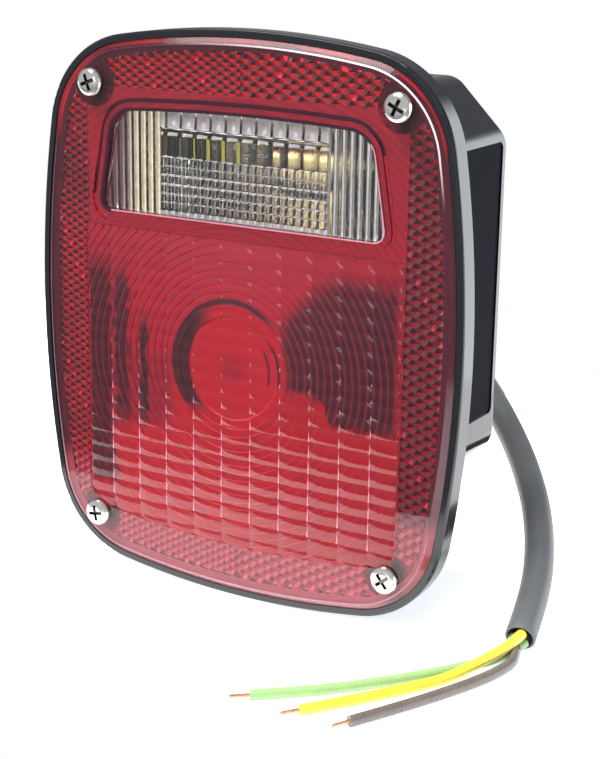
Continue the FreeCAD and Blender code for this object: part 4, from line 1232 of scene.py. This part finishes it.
def plated(name, dark, light, rough, grain=900.0):
    """A plated metal with a faintly mottled colour and fine scratches."""
    look = Look(name, metallic=1.0, roughness=rough)
    look.feed("Base Color", look.blend(look.noise(300.0, 4.0, 0.6), dark, light))
    look.bump(look.wear(look.noise(grain, 4.0, 0.7), rough * 0.6, rough * 1.8), 0.1, 0.00003)
    return look.material


def screw_nickel():
    """Bright nickel, darkened at the bottom of the cross recess in painted shade."""
    look = Look("nickel", metallic=1.0, roughness=0.16)
    x, y, z = look.axes()
    right, top = SCREW_PLACES[-1]
    across = look.maths("SUBTRACT", look.size(x), right)
    up = look.maths("SUBTRACT", look.size(z), top)
    # painted shade in the cross recess
    painted_recess_shade = look.times(look.rise(look.distance(across, up), 2.75, 2.6), look.rise(y, -62.75, -62.4))
    bright = look.blend(look.noise(300.0, 4.0, 0.6), (0.66, 0.64, 0.59), (0.88, 0.86, 0.81))
    look.feed("Base Color", look.blend(painted_recess_shade, bright, (0.10, 0.085, 0.07)))
    look.bump(look.wear(look.noise(900.0, 4.0, 0.7), 0.10, 0.29), 0.1, 0.00003)
    return look.material


def add_springs(material):
    """Each socket's coil spring: a fixed coil of three turns."""
    coil, wire, turns, around, sides = 5.6, 0.35, 3, 32, 8
    socket_y, foot, behind_disc, anchored = -28.0, 6.65, 3.35, 7.0
    steps = turns * around
    for name, disc, up in (("tail", 33.5, -13.5), ("backup", 20.0, 46.0)):
        vertices = []
        for i in range(steps + 1):
            turn = 2 * math.pi * i / around
            out = Vector((0, math.cos(turn), math.sin(turn)))
            place = Vector((disc + foot + (behind_disc - foot) * i / steps, socket_y, up)) + out * coil
            for k in range(sides):
                t = 2 * math.pi * k / sides
                vertices.append(place + out * wire * math.cos(t) + Vector((wire * math.sin(t), 0, 0)))
        faces = ring_faces(0, steps, sides)
        faces += [tuple(range(sides)), tuple(reversed(range(len(vertices) - sides, len(vertices))))]
        spring = new_object(name + "_coil_spring", vertices, faces, material, smooth=True)
        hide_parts(name + "_socket_spring")
        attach(spring, "lamp_housing")
        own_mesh(spring)


def stud_rings(around):
    """A stud's rings of radii and depths, from its head to its tip: the thread starts and ends softly."""
    crest, root, pitch = 3.175, 2.62, 1.27
    head, neck, head_back, head_front = 5.5, 3.5, -4.1, -6.1
    thread_from, thread_to, tip = 0.4, 21.6, 22.0
    plain = [(0.0, head_front), (head, head_front), (head, head_back)]
    plain += [(neck, head_back), (neck, 0.0), (crest, 0.0)]
    rings = [[place] * around for place in plain]
    for step in range(65):
        y = thread_from + step * pitch / 4
        cut = min(1.0, y / 2.0, (thread_to - y) / 0.6)
        phases = [(y / pitch - k / around) % 1.0 for k in range(around)]
        rings.append([(crest - (crest - root) * cut * (1 - abs(2 * phase - 1)), y) for phase in phases])
    return rings + [[place] * around for place in ((2.6, 21.3), (2.175, tip), (0.0, tip))]


def add_studs(material):
    """Three studs with a rolled thread beyond the rear wall, and their heads inside."""
    circle_radius, around = 29.33, 36
    rings = stud_rings(around)
    vertices, faces = [], []
    for turn in (30.0, 150.0, 270.0):
        x, z = (circle_radius * part(math.radians(turn)) for part in (math.cos, math.sin))
        faces += ring_faces(len(vertices), len(rings) - 1, around)
        for ring in rings:
            for k, (r, y) in enumerate(ring):
                angle = 2 * math.pi * k / around
                vertices.append((x + r * math.cos(angle), y, z + r * math.sin(angle)))
    studs = new_object("studs_threaded", vertices, faces, material)
    weld = bmesh.new()
    weld.from_mesh(studs.data)
    bmesh.ops.remove_doubles(weld, verts=weld.verts, dist=1e-6)
    bmesh.ops.recalc_face_normals(weld, faces=weld.faces)
    weld.to_mesh(studs.data)
    weld.free()
    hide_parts("mounting_studs")
    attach(studs, "lamp_housing")


def dress_metals():
    """The screws, and everything inside the bucket."""
    nickel = screw_nickel()
    for corner in ("upper_left", "upper_right", "lower_left", "lower_right"):
        dress("lens_screw_" + corner, nickel)
    gold = plated("yellow_zinc", (0.74, 0.55, 0.24), (0.88, 0.72, 0.38), 0.26, 500.0)
    brass = plated("brass", (0.70, 0.50, 0.22), (0.86, 0.68, 0.36), 0.22)
    zinc = plated("zinc", (0.48, 0.50, 0.52), (0.70, 0.72, 0.74), 0.25)
    solder = plated("solder", (0.42, 0.42, 0.43), (0.62, 0.62, 0.62), 0.35)
    tungsten = plated("tungsten", (0.30, 0.29, 0.28), (0.5, 0.48, 0.46), 0.3)
    spring = plated("spring", (0.40, 0.40, 0.42), (0.62, 0.62, 0.64), 0.22)
    rubber = Look("black_rubber", base_color=(0.014, 0.014, 0.015), roughness=0.55)
    rubber.bump(rubber.noise(1500.0, 3.0), 0.3, 0.0001)
    foam = Look("foam_seal", base_color=(0.018, 0.018, 0.019), roughness=0.85)
    foam.bump(foam.noise(2200.0, 4.0, 0.7), 0.5, 0.0002)
    phenolic = Look("phenolic", roughness=0.5)
    brown = phenolic.blend(phenolic.noise(700.0, 4.0), (0.10, 0.045, 0.018), (0.22, 0.11, 0.05))
    phenolic.feed("Base Color", brown)
    clear = (0.97, 0.98, 0.98)
    glass = Look("bulb_glass", base_color=clear, roughness=0.01, ior=1.47, transmission_weight=1.0)
    dress("socket_bracket", gold)
    dress("screw_inserts", brass)
    add_studs(zinc)
    add_springs(spring)
    dress("cable_grommet", rubber.material)
    dress("lens_gasket", foam.material)
    for bulb in ("tail", "backup"):
        dress(bulb + "_bulb_glass", glass.material)
        nodes[bulb + "_bulb_glass"].visible_shadow = False
        dress(bulb + "_bulb_base", brass)
        dress(bulb + "_bulb_contacts", solder)
        dress(bulb + "_bulb_filaments", tungsten)
        dress(bulb + "_socket_shell", gold)
        dress(bulb + "_contact_disc", phenolic.material)
        dress(bulb + "_disc_contacts", brass)


set_stage()
add_lead()
dress("housing", black_plastic())
dress_metals()
add_side_grain()
add_covers()
